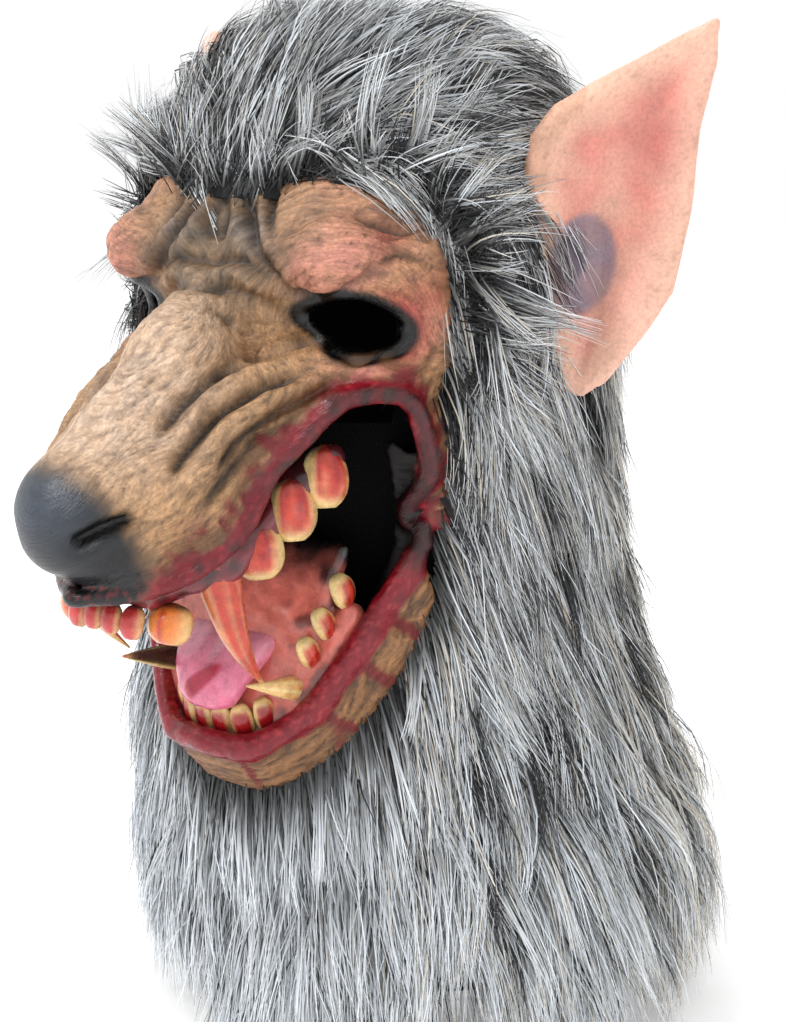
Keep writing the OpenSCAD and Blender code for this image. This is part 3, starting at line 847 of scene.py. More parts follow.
def make_fur():
    """The pile of each panel, as a list of pieces by the panel's name, and the grid that it grows from."""
    rng = np.random.default_rng(11)
    grid = backing_grid()
    big = sample_grid(grid, 520, rng)
    guides = place_guides(grid, rng)
    lift = lock_lifts(guides, rng)
    length = fur_lengths(guides, rng)
    room = hem_room(guides, rng)
    keep = room > 22
    guides, lift, length = guides[keep], lift[keep], np.minimum(length, room * 1.12)[keep]
    g_path = comb(guides, length, lift, rng, 0.13) + waves(guides, rng)
    g_path = gather_locks(g_path, guides, big, rng)
    owner = np.repeat(np.arange(len(guides)), LOCK_STRANDS)
    path = grow_strands(guides, g_path, owner, rng)
    n, roots = len(owner), path[:, 0]
    dark_guide = rng.random(len(guides)) < 0.16 - 0.10 * step(60, -20, guides[:, 2])
    shade = shades(roots, rng, 0.12)
    shade = np.where(dark_guide[owner], 0.15 * rng.random(n), shade)
    width = rng.uniform(0.45, 0.95, n) * LOCK_WIDTH
    panel = panel_of(guides)[owner]
    keep = ~in_face(roots, -2) & (path[..., 2].min(axis=1) > -SKIRT_DROP - 18)
    keep &= ~(in_face(path[:, 4], -5) | in_face(path[:, 6], -5))
    made = {}
    for name in PANELS:
        mine = np.nonzero(keep & (panel == name))[0]
        parts = np.array_split(mine, 1 + len(mine) // PIECE_STRANDS)
        made[name] = []
        for k, m in enumerate(parts):
            made[name].append(ribbons(f"{name}_pile_{k}", path[m], width[m], shade[m], rng))
    return made, grid


EDGE_STRANDS = 26  # strands that follow each guide of the fringe and beard
EDGE_WIDTH = 1
BEARD_LINE = arr((0, -84, -5), (18, -82, -3), (40, -72, 12), (55, -62, 34), (65, -53, 55), (69, -47, 74))


HAIRLINE = [
    (0, -84, 229), (16, -84, 229), (34, -76, 237), (50, -67, 238),
    (66, -55, 232), (80, -48, 216), (88, -45, 190), (86, -44, 160),
]


def make_fringe():
    """Short tousled pile along the hairline that stands up and falls forward over the glue line."""
    rng = np.random.default_rng(31)
    half = curve(HAIRLINE, 130)
    guides = 2 * len(half)
    roots = np.concatenate([half, half * [-1, 1, 1]]) + rng.normal(0, 1.6, (guides, 3)) + [0, 3, 1]
    top = step(TEMPLE, 232, roots[:, 2])[:, None]
    stand = root_normal(roots) * 0.55 + arr((0, 0.5, 0.9)) * top + arr((0, 0.6, -0.5)) * (1 - top)
    first = unit(stand + rng.normal(0, 0.32, (guides, 3)))
    turn = rng.normal(0, 0.45, (guides, 3)) + arr((0, 0.5, -0.15))
    under = rng.random(guides) < 0.5
    s = np.linspace(0, 1, STEPS)[None, :, None]
    length = np.where(under, rng.uniform(10, 18, guides), rng.uniform(20, 36, guides))[:, None, None]
    path = roots[:, None] + length * (first[:, None] * s + turn[:, None] * s**2 * 0.6)
    owner = np.repeat(np.arange(guides), EDGE_STRANDS)
    m = len(owner)
    tight = rng.choice([0.8, 0.4, -0.4], m, p=[0.5, 0.3, 0.2])[:, None, None]
    child = path[owner] + rng.normal(0, 2.4, (m, 1, 3)) * (1 - tight * s)
    child = child + rng.normal(0, 2.6, (m, 1, 3)) * s**1.5
    shade = np.where(under[owner], 0.16 * rng.random(m), shades(child[:, 0], rng, 0.2))
    return ribbons("fringe_pile", child, rng.uniform(0.5, 0.9, m) * EDGE_WIDTH, shade, rng)


THROAT = point(0, -30, 60)  # the beard stands away from here


def make_beard():
    """The strip of pile glued under the jaw, and its backing."""
    rng = np.random.default_rng(23)
    line = along_line(BEARD_LINE, 150)
    guides = 2 * len(line)
    roots = np.concatenate([line, line * [-1, 1, 1]]) + rng.normal(0, 1.2, (guides, 3)) + [0, 2.5, -2]
    out = unit(roots - THROAT)
    s = np.linspace(0, 1, STEPS)[None, :, None]
    length = rng.uniform(34, 56, guides)[:, None, None]
    lift = rng.uniform(3, 12, guides)[:, None, None]
    wild = rng.normal(0, 0.12, (guides, 1, 3))
    down = point(0, 0.12, -1) + wild
    path = roots[:, None] + down * length * s + out[:, None] * lift * (1 - (1 - s) ** 2)
    owner = np.repeat(np.arange(guides), EDGE_STRANDS)
    n = len(owner)
    spread = rng.normal(0, 2.6, (n, 1, 3))
    tight = rng.choice([0.8, 0.5, -0.2], n, p=[0.6, 0.3, 0.1])[:, None, None]
    child = path[owner] + spread * (1 - tight * s) + rng.normal(0, 2.0, (n, 1, 3)) * s**1.5
    shade = shades(child[:, 0], rng, 0.12)
    pile = ribbons("beard_pile", child, rng.uniform(0.6, 1.0, n) * EDGE_WIDTH, shade, rng)
    full = np.concatenate([line[::-1] * [-1, 1, 1], line[1:]])
    out = unit(full - THROAT) * [1, 1, 0.2]
    edges = ((1.0, (0, 2, 3)), (1.5, (0, 2, -4)), (0.5, (0, 5, -12)))
    rows = [full + out * proud + shift for proud, shift in edges]
    return pile, grid_mesh("beard_backing", rows)


def fur_material():
    mat, nt, shader = new_material("fur_pile")
    uv = nt.nodes.new("ShaderNodeUVMap")
    uv.uv_map = "OFBake"
    split = nt.nodes.new("ShaderNodeSeparateXYZ")
    nt.links.new(uv.outputs[0], split.inputs[0])
    tone = ramp(nt, split.outputs[0], FUR_TONES)
    depth = ramp(nt, split.outputs[1], [(at, (grey,) * 3) for at, grey in ROOT_SHADE])
    nt.links.new(mix_colour(nt, "MULTIPLY", 1.0, tone, depth), shader.inputs["Base Color"])
    shader.inputs["Roughness"].default_value = 0.55
    shader.inputs["Specular IOR Level"].default_value = 0.25
    shader.inputs["Sheen Weight"].default_value = 0.15
    return mat


def make_backings(grid):
    """The woven backing of each panel, by the panel's name."""
    pts = grid.reshape(-1, 3)
    quads = grid_quads(*grid.shape[:2], closed=True)
    centre = pts[quads].mean(axis=1)
    outside = ~in_face(centre, 3.0)
    panel = panel_of(centre)
    return {name: mesh_part(name + "_backing", pts, quads[outside & (panel == name)]) for name in PANELS}


# ---------- the sculpted skin: folds, wrinkles and paint ----------

FOLDS = [  # depth, width and path of each fold on the left half; a negative depth is a ridge
    (-4.6, 9.0, [(40, -88, 200), (50, -86, 204), (60, -80, 208), (69, -69, 207)]),
    (-2.5, 6.0, [(30, -84, 227), (42, -74, 231), (56, -64, 229), (68, -54, 222)]),
    (3.6, 3.0, [(34, -90, 215), (44, -82, 221), (57, -70, 221), (70, -56, 216)]),
    (2.6, 2.4, [(33, -89, 195), (46, -84, 194), (58, -80, 200), (70, -68, 209), (79, -58, 206)]),
    (2.0, 1.8, [(46, -84, 203), (58, -76, 211), (70, -62, 216)]),
    (3.6, 3.0, [(11, -85, 230), (19, -89, 218), (27, -93, 206), (34, -89, 196)]),
    (3.0, 2.6, [(22, -82, 232), (25, -87, 221), (32, -90, 210)]),
    (3.0, 2.6, [(2, -86, 232), (5, -89, 222), (4, -92, 212)]),
    (-2.4, 4.0, [(7, -86, 228), (12, -90, 216), (14, -94, 208)]),
    (-2.2, 4.0, [(17, -85, 230), (25, -90, 216), (31, -90, 203)]),
    (3.0, 2.6, [(0, -96, 206), (17, -95, 206), (31, -90, 198)]),
    (-2.0, 3.6, [(0, -100, 201), (16, -96, 201), (28, -90, 193)]),
    (2.6, 2.4, [(0, -105, 196), (15, -98, 196), (26, -90, 189), (32, -88, 184)]),
    (2.2, 2.2, [(0, -109, 188), (13, -104, 187), (22, -96, 181), (36, -85, 184)]),
    (4.2, 3.2, [(33, -150, 134), (32, -141, 143), (34, -127, 154), (39, -108, 163), (50, -94, 168)]),
    (3.2, 3.0, [(22, -145, 147), (22, -130, 159), (24, -111, 167), (30, -89, 175), (43, -81, 178)]),
    (4.2, 3.2, [(42, -136, 133), (42, -123, 145), (48, -107, 155), (57, -91, 161), (66, -79, 163)]),
    (3.2, 2.8, [(41, -143, 122), (43, -132, 132), (46, -116, 145), (52, -101, 151), (61, -85, 156)]),
    (-2.6, 4.6, [(37, -143, 130), (38, -130, 146), (43, -110, 158), (56, -94, 165)]),
    (-2.4, 4.6, [(28, -140, 148), (28, -125, 158), (32, -108, 167), (46, -90, 174)]),
    (-2.2, 3.6, [(43, -138, 127), (44, -124, 138), (49, -106, 150), (60, -88, 158)]),
    (1.8, 2.0, [(48, -84, 173), (60, -78, 169), (68, -64, 172), (73, -56, 184)]),
    (-1.8, 3.6, [(44, -86, 169), (58, -80, 165), (70, -64, 166)]),
    (1.6, 2.0, [(66, -70, 160), (74, -58, 164), (77, -50, 176)]),
]


def colour(r, g, b):
    """Linear colour from screen values of 0 to 255."""
    c = np.array([r, g, b], float) / 255
    return np.where(c <= 0.04045, c / 12.92, ((c + 0.055) / 1.055) ** 2.4)


TAN = colour(194, 152, 108)
CREAM = colour(226, 198, 174)
PEACH = colour(214, 164, 134)
PINK = colour(222, 154, 136)
OLIVE = colour(112, 100, 84)
LAVENDER = colour(150, 146, 150)
BARK = colour(58, 44, 34)
NOSE = colour(26, 28, 32)
NOSE_SHEEN = colour(84, 92, 104)
CRIMSON = colour(126, 14, 34)
ROSE = colour(196, 74, 78)
SKIN_BROWN = colour(164, 120, 82)
INSIDE = colour(26, 20, 20)
RIM = colour(14, 12, 13)

NOSE_TOP = point(0, -166, 121)
STRIPES = (0.17, 0.42, 0.6, 0.76)  # places of the jaw's cross stripes along its lip

SPRAYS = [  # colour, strength, centre and radius of each airbrushed patch on the left half
    (CREAM, 0.9, (0, -132, 162), 34),
    (CREAM, 0.8, (10, -158, 148), 22),
    (CREAM, 0.6, (0, -112, 186), 22),
    (PEACH, 0.9, (48, -66, 230), 26),
    (PEACH, 0.7, (74, -50, 214), 16),
    (PINK, 0.9, (58, -80, 208), 14),
    (PINK, 0.85, (46, -86, 202), 12),
    (OLIVE * 0.7, 0.75, (44, -80, 219), 7),
    (OLIVE * 0.6, 0.75, (34, -88, 206), 8),
    (OLIVE * 0.6, 0.6, (36, -88, 190), 6),
    (ROSE, 0.55, (70, -64, 186), 9),
    (PINK, 0.8, (64, -76, 164), 17),
    (PINK, 0.7, (76, -54, 182), 12),
    (ROSE, 0.55, (74, -56, 196), 9),
    (ROSE, 0.5, (64, -66, 214), 8),
    (OLIVE, 0.8, (10, -88, 218), 18),
    (LAVENDER, 0.45, (20, -90, 216), 9),
    (OLIVE, 0.6, (14, -98, 200), 13),
    (OLIVE, 0.5, (36, -90, 188), 8),
    (CRIMSON, 0.75, (70, -66, 150), 9),
    (CRIMSON, 0.55, (44, -146, 112), 9),
    (CRIMSON, 0.45, (48, -118, 134), 8),
]


def wrinkle_noise(coords_list, seed):
    return np.array([noise.noise(Vector((a, b, seed))) for a, b in coords_list])


def flow_coords(p):
    """Across and along the wrinkles, which run round the eyes, up the muzzle and along the jaw."""
    q = fold(p)
    a, b, _ = eye_frame(q)
    r = np.hypot(a, b * 1.15)
    turn = np.arctan2(b, a)
    across_m = -0.51 * q[:, 1] + 0.86 * q[:, 2] - 0.25 * q[:, 0]
    along_m = 0.86 * q[:, 1] + 0.51 * q[:, 2]
    d, at = line_distance(q, JAW_LIP)
    w_eye = step(150, 185, q[:, 2]) * step(-118, -92, q[:, 1])
    w_jaw = step(72, 58, q[:, 2] + 0.5 * (q[:, 1] + 60)) * step(-128, -112, q[:, 1])
    across = across_m * (1 - w_eye) + (r + 150) * w_eye
    along = along_m * (1 - w_eye) + turn * 26 * w_eye
    across = across * (1 - w_jaw) + (d + at * 6) * w_jaw
    along = along * (1 - w_jaw) + at * 120 * w_jaw
    return across, along


def outward(p):
    """Direction away from the head at each point of the skin, and the point above it on the outer face."""
    here = skin_outside(p)
    away = unit(np.stack([skin_outside(p + e) - here for e in np.eye(3)], axis=-1))
    return away, fold(p - away * here[:, None])


def lay(base, over, amount):
    amount = np.clip(np.broadcast_to(amount, len(base)), 0, 1)[:, None]
    return base * (1 - amount) + np.asarray(over) * amount


def press_folds(above, on_skin):
    """How far the folds push the skin out at each point, and how much dark paint lies in their grooves: the
    mask's own airbrushing there together with painted shade.
    """
    push = np.zeros(len(above))
    groove = np.zeros(len(above))
    for depth, width, path in FOLDS:
        d, at = line_distance(above, path)
        to_end = np.minimum(at, 1 - at)
        ends = smooth(to_end * (6 if depth > 0 else 3))
        push -= 1.35 * depth * np.exp(-((d / width) ** 2)) * (0.25 + 0.75 * ends)
        if depth > 0:
            line = np.exp(-((d / (width * 0.75)) ** 2)) * (0.3 + 0.7 * ends)
            groove = np.maximum(groove, line * min(1, depth / 3))
    push -= 6.5 * np.exp(-((line_distance(above, NOSTRIL)[0] / 3.6) ** 2))
    return push, groove * on_skin


def measure_skin(p):
    """Named measures of each point of the skin, which the sculpting and the paint share."""
    m = SimpleNamespace(p=p, q=fold(p))
    m.outer = np.abs(skin_outside(m.q))
    m.rim = eye_field(m.q)
    m.lip_d, m.lip_at = line_distance(m.q, LIPS)
    m.low_d, m.low_at = line_distance(m.q, JAW_LIP)
    m.on_jaw = step(2.5, 0.5, np.abs(jaw_field(m.q))) * step(-6, 2, np.minimum(m.lip_d - 7, 6))
    m.on_skin = step(2.4, 1.2, m.outer) * step(5.5, 8, m.lip_d)
    across, m.along = flow_coords(p)
    m.across = across + noise_at(p, 0.055) * 5
    m.crease = 1 - np.abs(wrinkle_noise(zip(m.across * 0.34, m.along * 0.055), 1.7)) * 2.6
    m.crease2 = 1 - np.abs(wrinkle_noise(zip(m.across * 0.75, m.along * 0.13), 5.1)) * 2.6
    m.lumps = noise_at(p, 0.16)
    return m


def wrinkles(m, deep, fine, soft):
    """Depth of the wrinkles of the leathery skin."""
    return -deep * np.clip(m.crease, 0, 1) ** 2 - fine * np.clip(m.crease2, 0, 1) ** 2 + soft * m.lumps


def sculpt(obj):
    """Presses the folds and wrinkles into the outer skin, then paints it."""
    p, n = points_of(obj), normals_of(obj)
    m = measure_skin(p)
    away, above = outward(p)
    push, m.groove = press_folds(above, m.on_skin)
    off_nose = step(26, 34, np.linalg.norm(m.q - NOSE_TOP, axis=1))
    push_fine = wrinkles(m, 0.75, 0.4, 0.5) * m.on_skin * off_nose * step(4, 8, m.rim)
    hem_d, _ = line_distance(m.q, JAW_HEM)
    push_jaw = wrinkles(m, 1.0, 0.5, 0.4) * m.on_jaw * step(4.5, 8, m.low_d) * step(4.6, 9, hem_d)
    wet = np.maximum(step(8, 4, m.lip_d), m.on_jaw * step(8.5, 5, m.low_d))
    push_wet = 0.5 * m.lumps * wet * step(3, 8, m.rim)
    push_wet = push_wet + 1.3 * np.exp(-(((m.rim - 2.0) / 1.5) ** 2)) * (p[:, 1] < -52)
    strands = np.clip(m.crease, 0, 1) * step(16, 8, m.lip_d) * m.on_skin
    fold_skin = push * step(4, 9, m.lip_d) * (1 - m.on_jaw)
    push_all = push_fine + push_jaw + push_wet - 0.7 * strands
    set_points(obj, p + n * push_all[:, None] + away * fold_skin[:, None])
    paint_skin(obj, m)
    vector_attr(obj, "grain", np.stack([m.across, m.along * 0.22, m.lumps], axis=1))


def paint_nose(c, m):
    nd = np.linalg.norm(m.q - point(0, -168, 118), axis=1)
    edge = m.p[:, 1] * 0.9 + m.p[:, 2] * 0.55 + 2 * m.lumps
    m.nose = step(-75, -88, edge) * step(41, 36, nd)
    sheen = np.exp(-((np.linalg.norm(m.q - point(6, -182, 126), axis=1) / 15) ** 2))
    c = lay(c, NOSE + (NOSE_SHEEN - NOSE) * sheen[:, None] * 0.75, m.nose)
    # painted shade: the shallow nostril pit painted near-black, for the shade of an open nostril
    return lay(c, RIM * 0.3, step(0.25, 0.6, np.exp(-((line_distance(m.q, NOSTRIL)[0] / 3.4) ** 2))))


def paint_eyes(c, m):
    c = lay(c, ROSE, 0.6 * step(9, 3, m.rim) * step(-62, -70, -m.q[:, 0]))
    c = lay(c, OLIVE * 0.5, 0.6 * step(6, 2.5, m.rim))
    return lay(c, RIM * 0.5, step(5.0, 3.4, m.rim) * step(-46, -54, m.p[:, 1]))


def paint_lips(c, m, speck):
    drips = np.array([noise.noise(Vector((a * 42, b * 0.1, 4.0))) for a, b in zip(m.lip_at, m.lip_d)])
    off_nose = 1 - m.nose
    c = lay(c, SKIN_BROWN * 0.55, 0.8 * step(19, 11, m.ragged) * off_nose * step(0.2, 1, m.crease + 0.4))
    drip_edge = m.lip_d + 12 * drips + 3 * m.crease
    c = lay(c, CRIMSON, 0.9 * step(13, 7, drip_edge) * off_nose * step(4, 9, m.rim))
    c = lay(c, CRIMSON, step(6.5, 4.5, m.ragged) * off_nose)
    c = lay(c, ROSE, 0.3 * step(0.15, 0.4, speck) * step(7, 4, m.lip_d))
    return lay(c, BARK * 0.5, 0.7 * step(0.0, 0.5, m.lumps) * step(8, 4, m.lip_d))


def paint_jaw(c, m, speck):
    jaw = np.tile(SKIN_BROWN, (len(m.p), 1)) * (1 + 0.25 * speck[:, None])
    # painted shade: the jaw's wrinkle creases darkened, with the mask's own airbrushing in them
    jaw = lay(jaw, BARK, 0.8 * np.clip(m.crease, 0, 1) ** 2)
    for at in STRIPES:
        stripe = np.abs(m.low_at - at + 0.012 * m.lumps) * 110
        jaw = lay(jaw, CRIMSON, 0.85 * step(2.6, 1.2, stripe) * step(30, 18, m.low_d))
    jaw = lay(jaw, CRIMSON * 1.1, step(8.2, 6.4, m.low_d + 1.5 * m.lumps))
    jaw = lay(jaw, ROSE, 0.45 * step(0.1, 0.45, speck) * step(8, 5, m.low_d))
    return lay(c, jaw, m.on_jaw)


def paint_inside(c, m, n):
    """The dark inner face of the latex, and of the jaw, and near-black painted shade on the skin that lies
    deep behind the mouth's corner.
    """
    x, y, z = m.q[:, 0], m.p[:, 1], m.p[:, 2]
    # painted shade: outer skin deep behind the mouth's corner is painted near-black
    behind = (x < 68) & (y > -60) & (z < 155) & (z > 70)
    inside = np.maximum(step(1.4, 2.4, m.outer), behind) * (1 - m.on_jaw) * step(3.2, 4.4, m.lip_d)
    c = lay(c, INSIDE, inside)
    facing = (n * unit(m.p - point(0, -40, 130))).sum(1)
    return lay(c, INSIDE, step(0.0, -0.3, facing) * m.on_jaw * step(6, 9, m.low_d))


def paint_skin(obj, m):
    speck = noise_at(m.p, 0.55)
    m.ragged = m.lip_d + 2.2 * m.lumps + 1.2 * m.crease
    c = np.tile(TAN, (len(m.p), 1))
    for tint, strength, centre, radius in SPRAYS:
        d = np.linalg.norm(m.q - np.asarray(centre, float), axis=1)
        c = lay(c, tint, strength * np.exp(-((d / radius) ** 2)) * (1 + 0.5 * m.lumps))
    # painted shade: the fold grooves darkened towards dark brown, on top of the mask's own airbrushing in
    # them
    c = lay(c, BARK * 0.55, m.groove)
    # painted shade: the wrinkle creases darkened, with the mask's own airbrushing in them
    c = lay(c, BARK, 0.45 * np.clip(m.crease, 0, 1) ** 3 + 0.25 * np.clip(m.crease2, 0, 1) ** 3)
    c = paint_nose(c * (1 + 0.16 * speck[:, None]), m)
    c = paint_lips(paint_eyes(c, m), m, speck)
    c = paint_inside(paint_jaw(c, m, speck), m, normals_of(obj))
    colour_attr(obj, "paint", np.clip(0.92 * c**1.12, 0.001, 1))
    wet = step(8, 5, m.ragged) + m.on_jaw * step(8.2, 6.4, m.low_d)
    wet = wet + 0.8 * step(4.6, 3, m.rim) + 0.55 * m.nose
    value_attr(obj, "wet", np.clip(wet, 0, 1))


def skin_material():
    mat, nt, shader = new_material("painted_latex")
    grain = attribute(nt, "grain").outputs["Vector"]
    wet = attribute(nt, "wet").outputs["Fac"]
    obj_co = coords(nt)
    wrinkle = noise_of(nt, grain, 1.1, 5, 0.6, 0.4)
    pores = noise_of(nt, obj_co, 900, 3, 0.6)
    blotch = noise_of(nt, obj_co, 160, 4, 0.6)
    # painted light and shade: the paint darkened in the hollows of the wrinkle bump and lightened on its
    # ridges
    dark = remap(nt, wrinkle, 0.38, 0.62, 0.72, 1.12)
    speck = remap(nt, pores, 0.35, 0.6, 0.82, 1.06)
    shade = calc(nt, "MULTIPLY", dark, speck)
    dry = calc(nt, "SUBTRACT", 1.0, wet)
    wet_shade = calc(nt, "MULTIPLY", wet, remap(nt, blotch, 0.3, 0.7, 0.75, 1.25))
    shade = calc(nt, "ADD", calc(nt, "MULTIPLY", shade, dry), wet_shade)
    shaded_paint(nt, shader, shade)
    rough = remap(nt, wet, 0, 1, 0.52, 0.14)
    nt.links.new(calc(nt, "ADD", rough, remap(nt, blotch, 0.3, 0.7, -0.05, 0.08)), shader.inputs["Roughness"])
    shader.inputs["Specular IOR Level"].default_value = 0.45
    height = calc(nt, "ADD", calc(nt, "MULTIPLY", wrinkle, 1.0), calc(nt, "MULTIPLY", pores, 0.22))
    bump(nt, shader, height, 0.55, 0.9)
    return mat


# ---------- ears ----------

EAR_BASE = point(93, 5, 188)
EAR_UP = unit((0.15, 0, 0.99))
EAR_OUT = unit((0.79, 0.6, -0.12))
EAR_FACE = np.cross(EAR_OUT, EAR_UP)
EAR_LEAN = math.radians(34)
EAR_EDGE = [  # the ear's outline in its own plane: outward, up
    (-17, 44), (-16, 60), (-10, 72), (4, 84), (24, 98), (43, 112), (44.5, 97), (42.5, 70),
    (44.5, 40), (43, 9), (34, -10), (22, -30), (15, -37), (5, -36), (-2, -14), (-10, 14),
]
EAR_STEP = 1.5


def oval(u, v, u0, v0, wide, high):
    """Squared distance from an oval's middle, 1 on its edge."""
    return ((u - u0) / wide) ** 2 + ((v - v0) / high) ** 2


def ear_field(p):
    """Distance to the cupped ear, with a hollow behind its opening and a rolled rim."""
    u, v, w = p[..., 0], p[..., 1], p[..., 2]
    edge = outline_field(u, v, EAR_EDGE)
    bowl = 9 * step(0, 26, -edge)
    concha = 6 * np.exp(-oval(u, v, 8, 14, 13, 19) ** 2)
    spine = 3 * np.exp(-(((u - 27 - 0.1 * v) / 6) ** 2)) * step(-20, 40, v)
    face_w = 2 - bowl - concha + spine
    f = np.maximum(np.abs(w - face_w) - 1.9, 0) * 0.75 - np.maximum(1.9 - np.abs(w - face_w), 0) * 0.75
    f = smooth_max(f, edge, 1.5)
    front = [(-17, 44, 1), (-16, 60, 1), (-10, 71, 1), (4, 82, 1), (24, 96, 1), (42, 109, 0.5)]
    back = [(42, 109, 0.5), (43, 96, 1), (41, 70, 1), (43, 40, 1), (41, 9, 1), (32, -10, 1), (21, -29, 0)]
    rim = np.minimum(chain(p, arr(*front), 4.2, 2.2), chain(p, arr(*back), 1.6, 2.6))
    return smooth_min(f, rim, 3)


def place_ear(local, side):
    base = EAR_BASE + local @ np.stack([EAR_OUT, EAR_UP, EAR_FACE])
    base[:, 0] *= side
    if side < 0:
        axis = Vector((-EAR_UP[0], EAR_UP[1], EAR_UP[2]))
        turn = np.array(Matrix.Rotation(-EAR_LEAN, 3, axis))
        hub = EAR_BASE * [-1, 1, 1]
        base = (base - hub) @ turn.T + hub
    return base


def make_ear(side, name):
    _, p = grid_points((-24, -44, -22), (52, 120, 10), EAR_STEP)
    local, quads = surface_net(ear_field(p), (-24, -44, -22), EAR_STEP)
    mottle = noise_at(local, 0.09)
    fine = noise_at(local, 0.6)
    u, v, w = local.T
    edge = outline_field(u, v, EAR_EDGE)
    bowl = 9 * step(0, 26, -edge)
    front_side = w > 2 - bowl - 6 * np.exp(-oval(u, v, 8, 14, 13, 19) ** 2) + 0.2
    c = np.tile(colour(232, 182, 158), (len(local), 1))
    c = lay(c, colour(214, 138, 124), front_side * step(-4, -16, edge) * (0.7 + 0.6 * mottle))
    c = lay(c, colour(186, 100, 98), front_side * 0.55 * np.exp(-oval(u, v, 30, 66, 12, 26)))
    c = lay(c, colour(230, 176, 158), front_side * 0.7 * np.exp(-oval(u, v, 30, 2, 10, 20)))
    hollow = step(1.3, 0.85, oval(u, v, 7.5, 14, 13, 19))
    c = lay(c, colour(140, 124, 136), front_side * hollow * (0.85 + 0.3 * mottle))
    c = lay(c, colour(92, 84, 98), front_side * 0.8 * step(0.9, 0.2, oval(u, v, 3, 16, 8, 15)))
    c = lay(c, colour(206, 158, 132), 0.8 * (u < -2) * step(-8, -2, edge) * (v > 40))
    c = lay(c, colour(110, 84, 72), 0.25 * step(0.28, 0.45, fine) * step(-12, -2, edge))
    c = c * (1 + 0.10 * mottle[:, None])
    points = place_ear(local, side)
    obj = mesh_of(name, points, quads if side > 0 else quads[:, ::-1])
    n = normals_of(obj)
    set_points(obj, points + n * (0.35 * mottle + 0.18 * fine)[:, None])
    colour_attr(obj, "paint", np.clip(c, 0.001, 1))
    value_attr(obj, "wet", np.full(len(local), 0.25))
    vector_attr(obj, "grain", np.stack([u * 1.0, v * 0.5, w], axis=1))
    return obj


def latex_material(name, wrinkle_scale=0.8, wrinkle=0.35, rough=0.5):
    mat, nt, shader = new_material(name)
    obj_co = coords(nt)
    mottle = noise_of(nt, obj_co, 55, 5, 0.6)
    pores = noise_of(nt, obj_co, 700, 3, 0.6)
    soft = noise_of(nt, obj_co, 180 * wrinkle_scale, 4, 0.55)
    pits = remap(nt, pores, 0.3, 0.62, 0.84, 1.05)
    shade = calc(nt, "MULTIPLY", remap(nt, mottle, 0.3, 0.7, 0.86, 1.1), pits)
    shaded_paint(nt, shader, shade)
    nt.links.new(remap(nt, mottle, 0.3, 0.7, rough - 0.08, rough + 0.1), shader.inputs["Roughness"])
    height = calc(nt, "ADD", soft, calc(nt, "MULTIPLY", pores, 0.25))
    bump(nt, shader, height, wrinkle, 0.8)
    return mat


# ---------- mouth ----------

UPPER_RIDGE = [  # centre and radius
    ((0, -149, 92), 8), ((17, -145, 92), 8), ((34, -125, 100), 9),
    ((38, -107, 110), 8), ((44, -95, 123), 8), ((50, -84, 133), 7),
]
LOWER_RIDGE = [
    ((0, -94, 13), 7), ((18, -88, 14), 7), ((30, -79, 28), 8),
    ((39, -74, 48), 7), ((47, -68, 68), 6),
]
PALATE = [(17, -145, 94), (34, -125, 103), (38, -107, 113), (44, -95, 126), (50, -84, 136)]
FLOOR_ROWS = [(-97, 13, 18), (-94, 30, 26), (-90, 46, 33), (-86, 62, 37), (-81, 78, 41), (-76, 94, 44)]


def ridge_field(q, ridge):
    best = None
    for (a, ra), (b, rb) in zip(ridge, ridge[1:]):
        f = cone_field(q, a, ra, b, rb)
        best = f if best is None else smooth_min(best, f, 2)
    return best


def gum_upper(p):
    q = fold(p)
    f = ridge_field(q, UPPER_RIDGE)
    for a in along_line(PALATE, 9)[:-1]:
        f = smooth_min(f, cone_field(q, (0, a[1], a[2] + 6), 3.4, a, 3), 3)
    return f


def gum_lower(p):
    q = fold(p)
    f = ridge_field(q, LOWER_RIDGE)
    rows = np.array(FLOOR_ROWS, float)
    at = np.linspace(0, 1, 24)
    full = np.stack([np.interp(at * 5, np.arange(6), rows[:, k]) for k in range(3)], axis=1)
    for y, z, w in full:
        f = smooth_min(f, cone_field(q, (0, y + 3, z), 3.4, (w - 2, y + 9, z), 3.4), 4)
    return f


def make_gum(name, field, lo, hi, painter):
    obj = solid(name, field, lo, hi, 1.8)
    p, n = points_of(obj), normals_of(obj)
    lumps = noise_at(p, 0.16)
    set_points(obj, p + n * (0.7 * lumps + 0.3 * noise_at(p, 0.45))[:, None])
    colour_attr(obj, "paint", np.clip(painter(p, lumps), 0.001, 1))
    return obj


def paint_upper_gum(p, lumps):
    c = np.tile(colour(58, 20, 24), (len(p), 1))
    c = lay(c, colour(132, 36, 46), 0.5 + 0.9 * lumps)
    return lay(c, colour(20, 12, 14), step(-110, -86, p[:, 1]) * 0.7)


def paint_lower_gum(p, lumps):
    c = np.tile(colour(214, 112, 98), (len(p), 1))
    c = lay(c, colour(150, 40, 48), 0.35 * lumps)
    c = lay(c, colour(52, 14, 20), 0.9 * step(32, 22, p[:, 2]))
    c = lay(c, colour(60, 24, 26), 0.75 * step(0.05, 0.4, lumps) * step(20, 34, np.abs(p[:, 0])))
    return lay(c, colour(8, 6, 7), step(72, 96, p[:, 2] + 6 * lumps))


def tongue_field(p):
    q = fold(p)
    spine = arr((0, -64, 50), (0, -76, 54), (0, -88, 53), (0, -98, 44), (0, -102, 34))
    wide = np.interp(np.linspace(0, 4, 15), range(5), (12, 16, 18, 16, 10))
    f = None
    for c, w in zip(curve(spine, 15), wide):
        g = cone_field(q, c, 6.0, c + [w, 3, 1.5], 4.6)
        f = g if f is None else smooth_min(f, g, 2.5)
    return f + 1.2 * np.exp(-((p[..., 0] / 4) ** 2)) * step(-70, -80, q[..., 1])


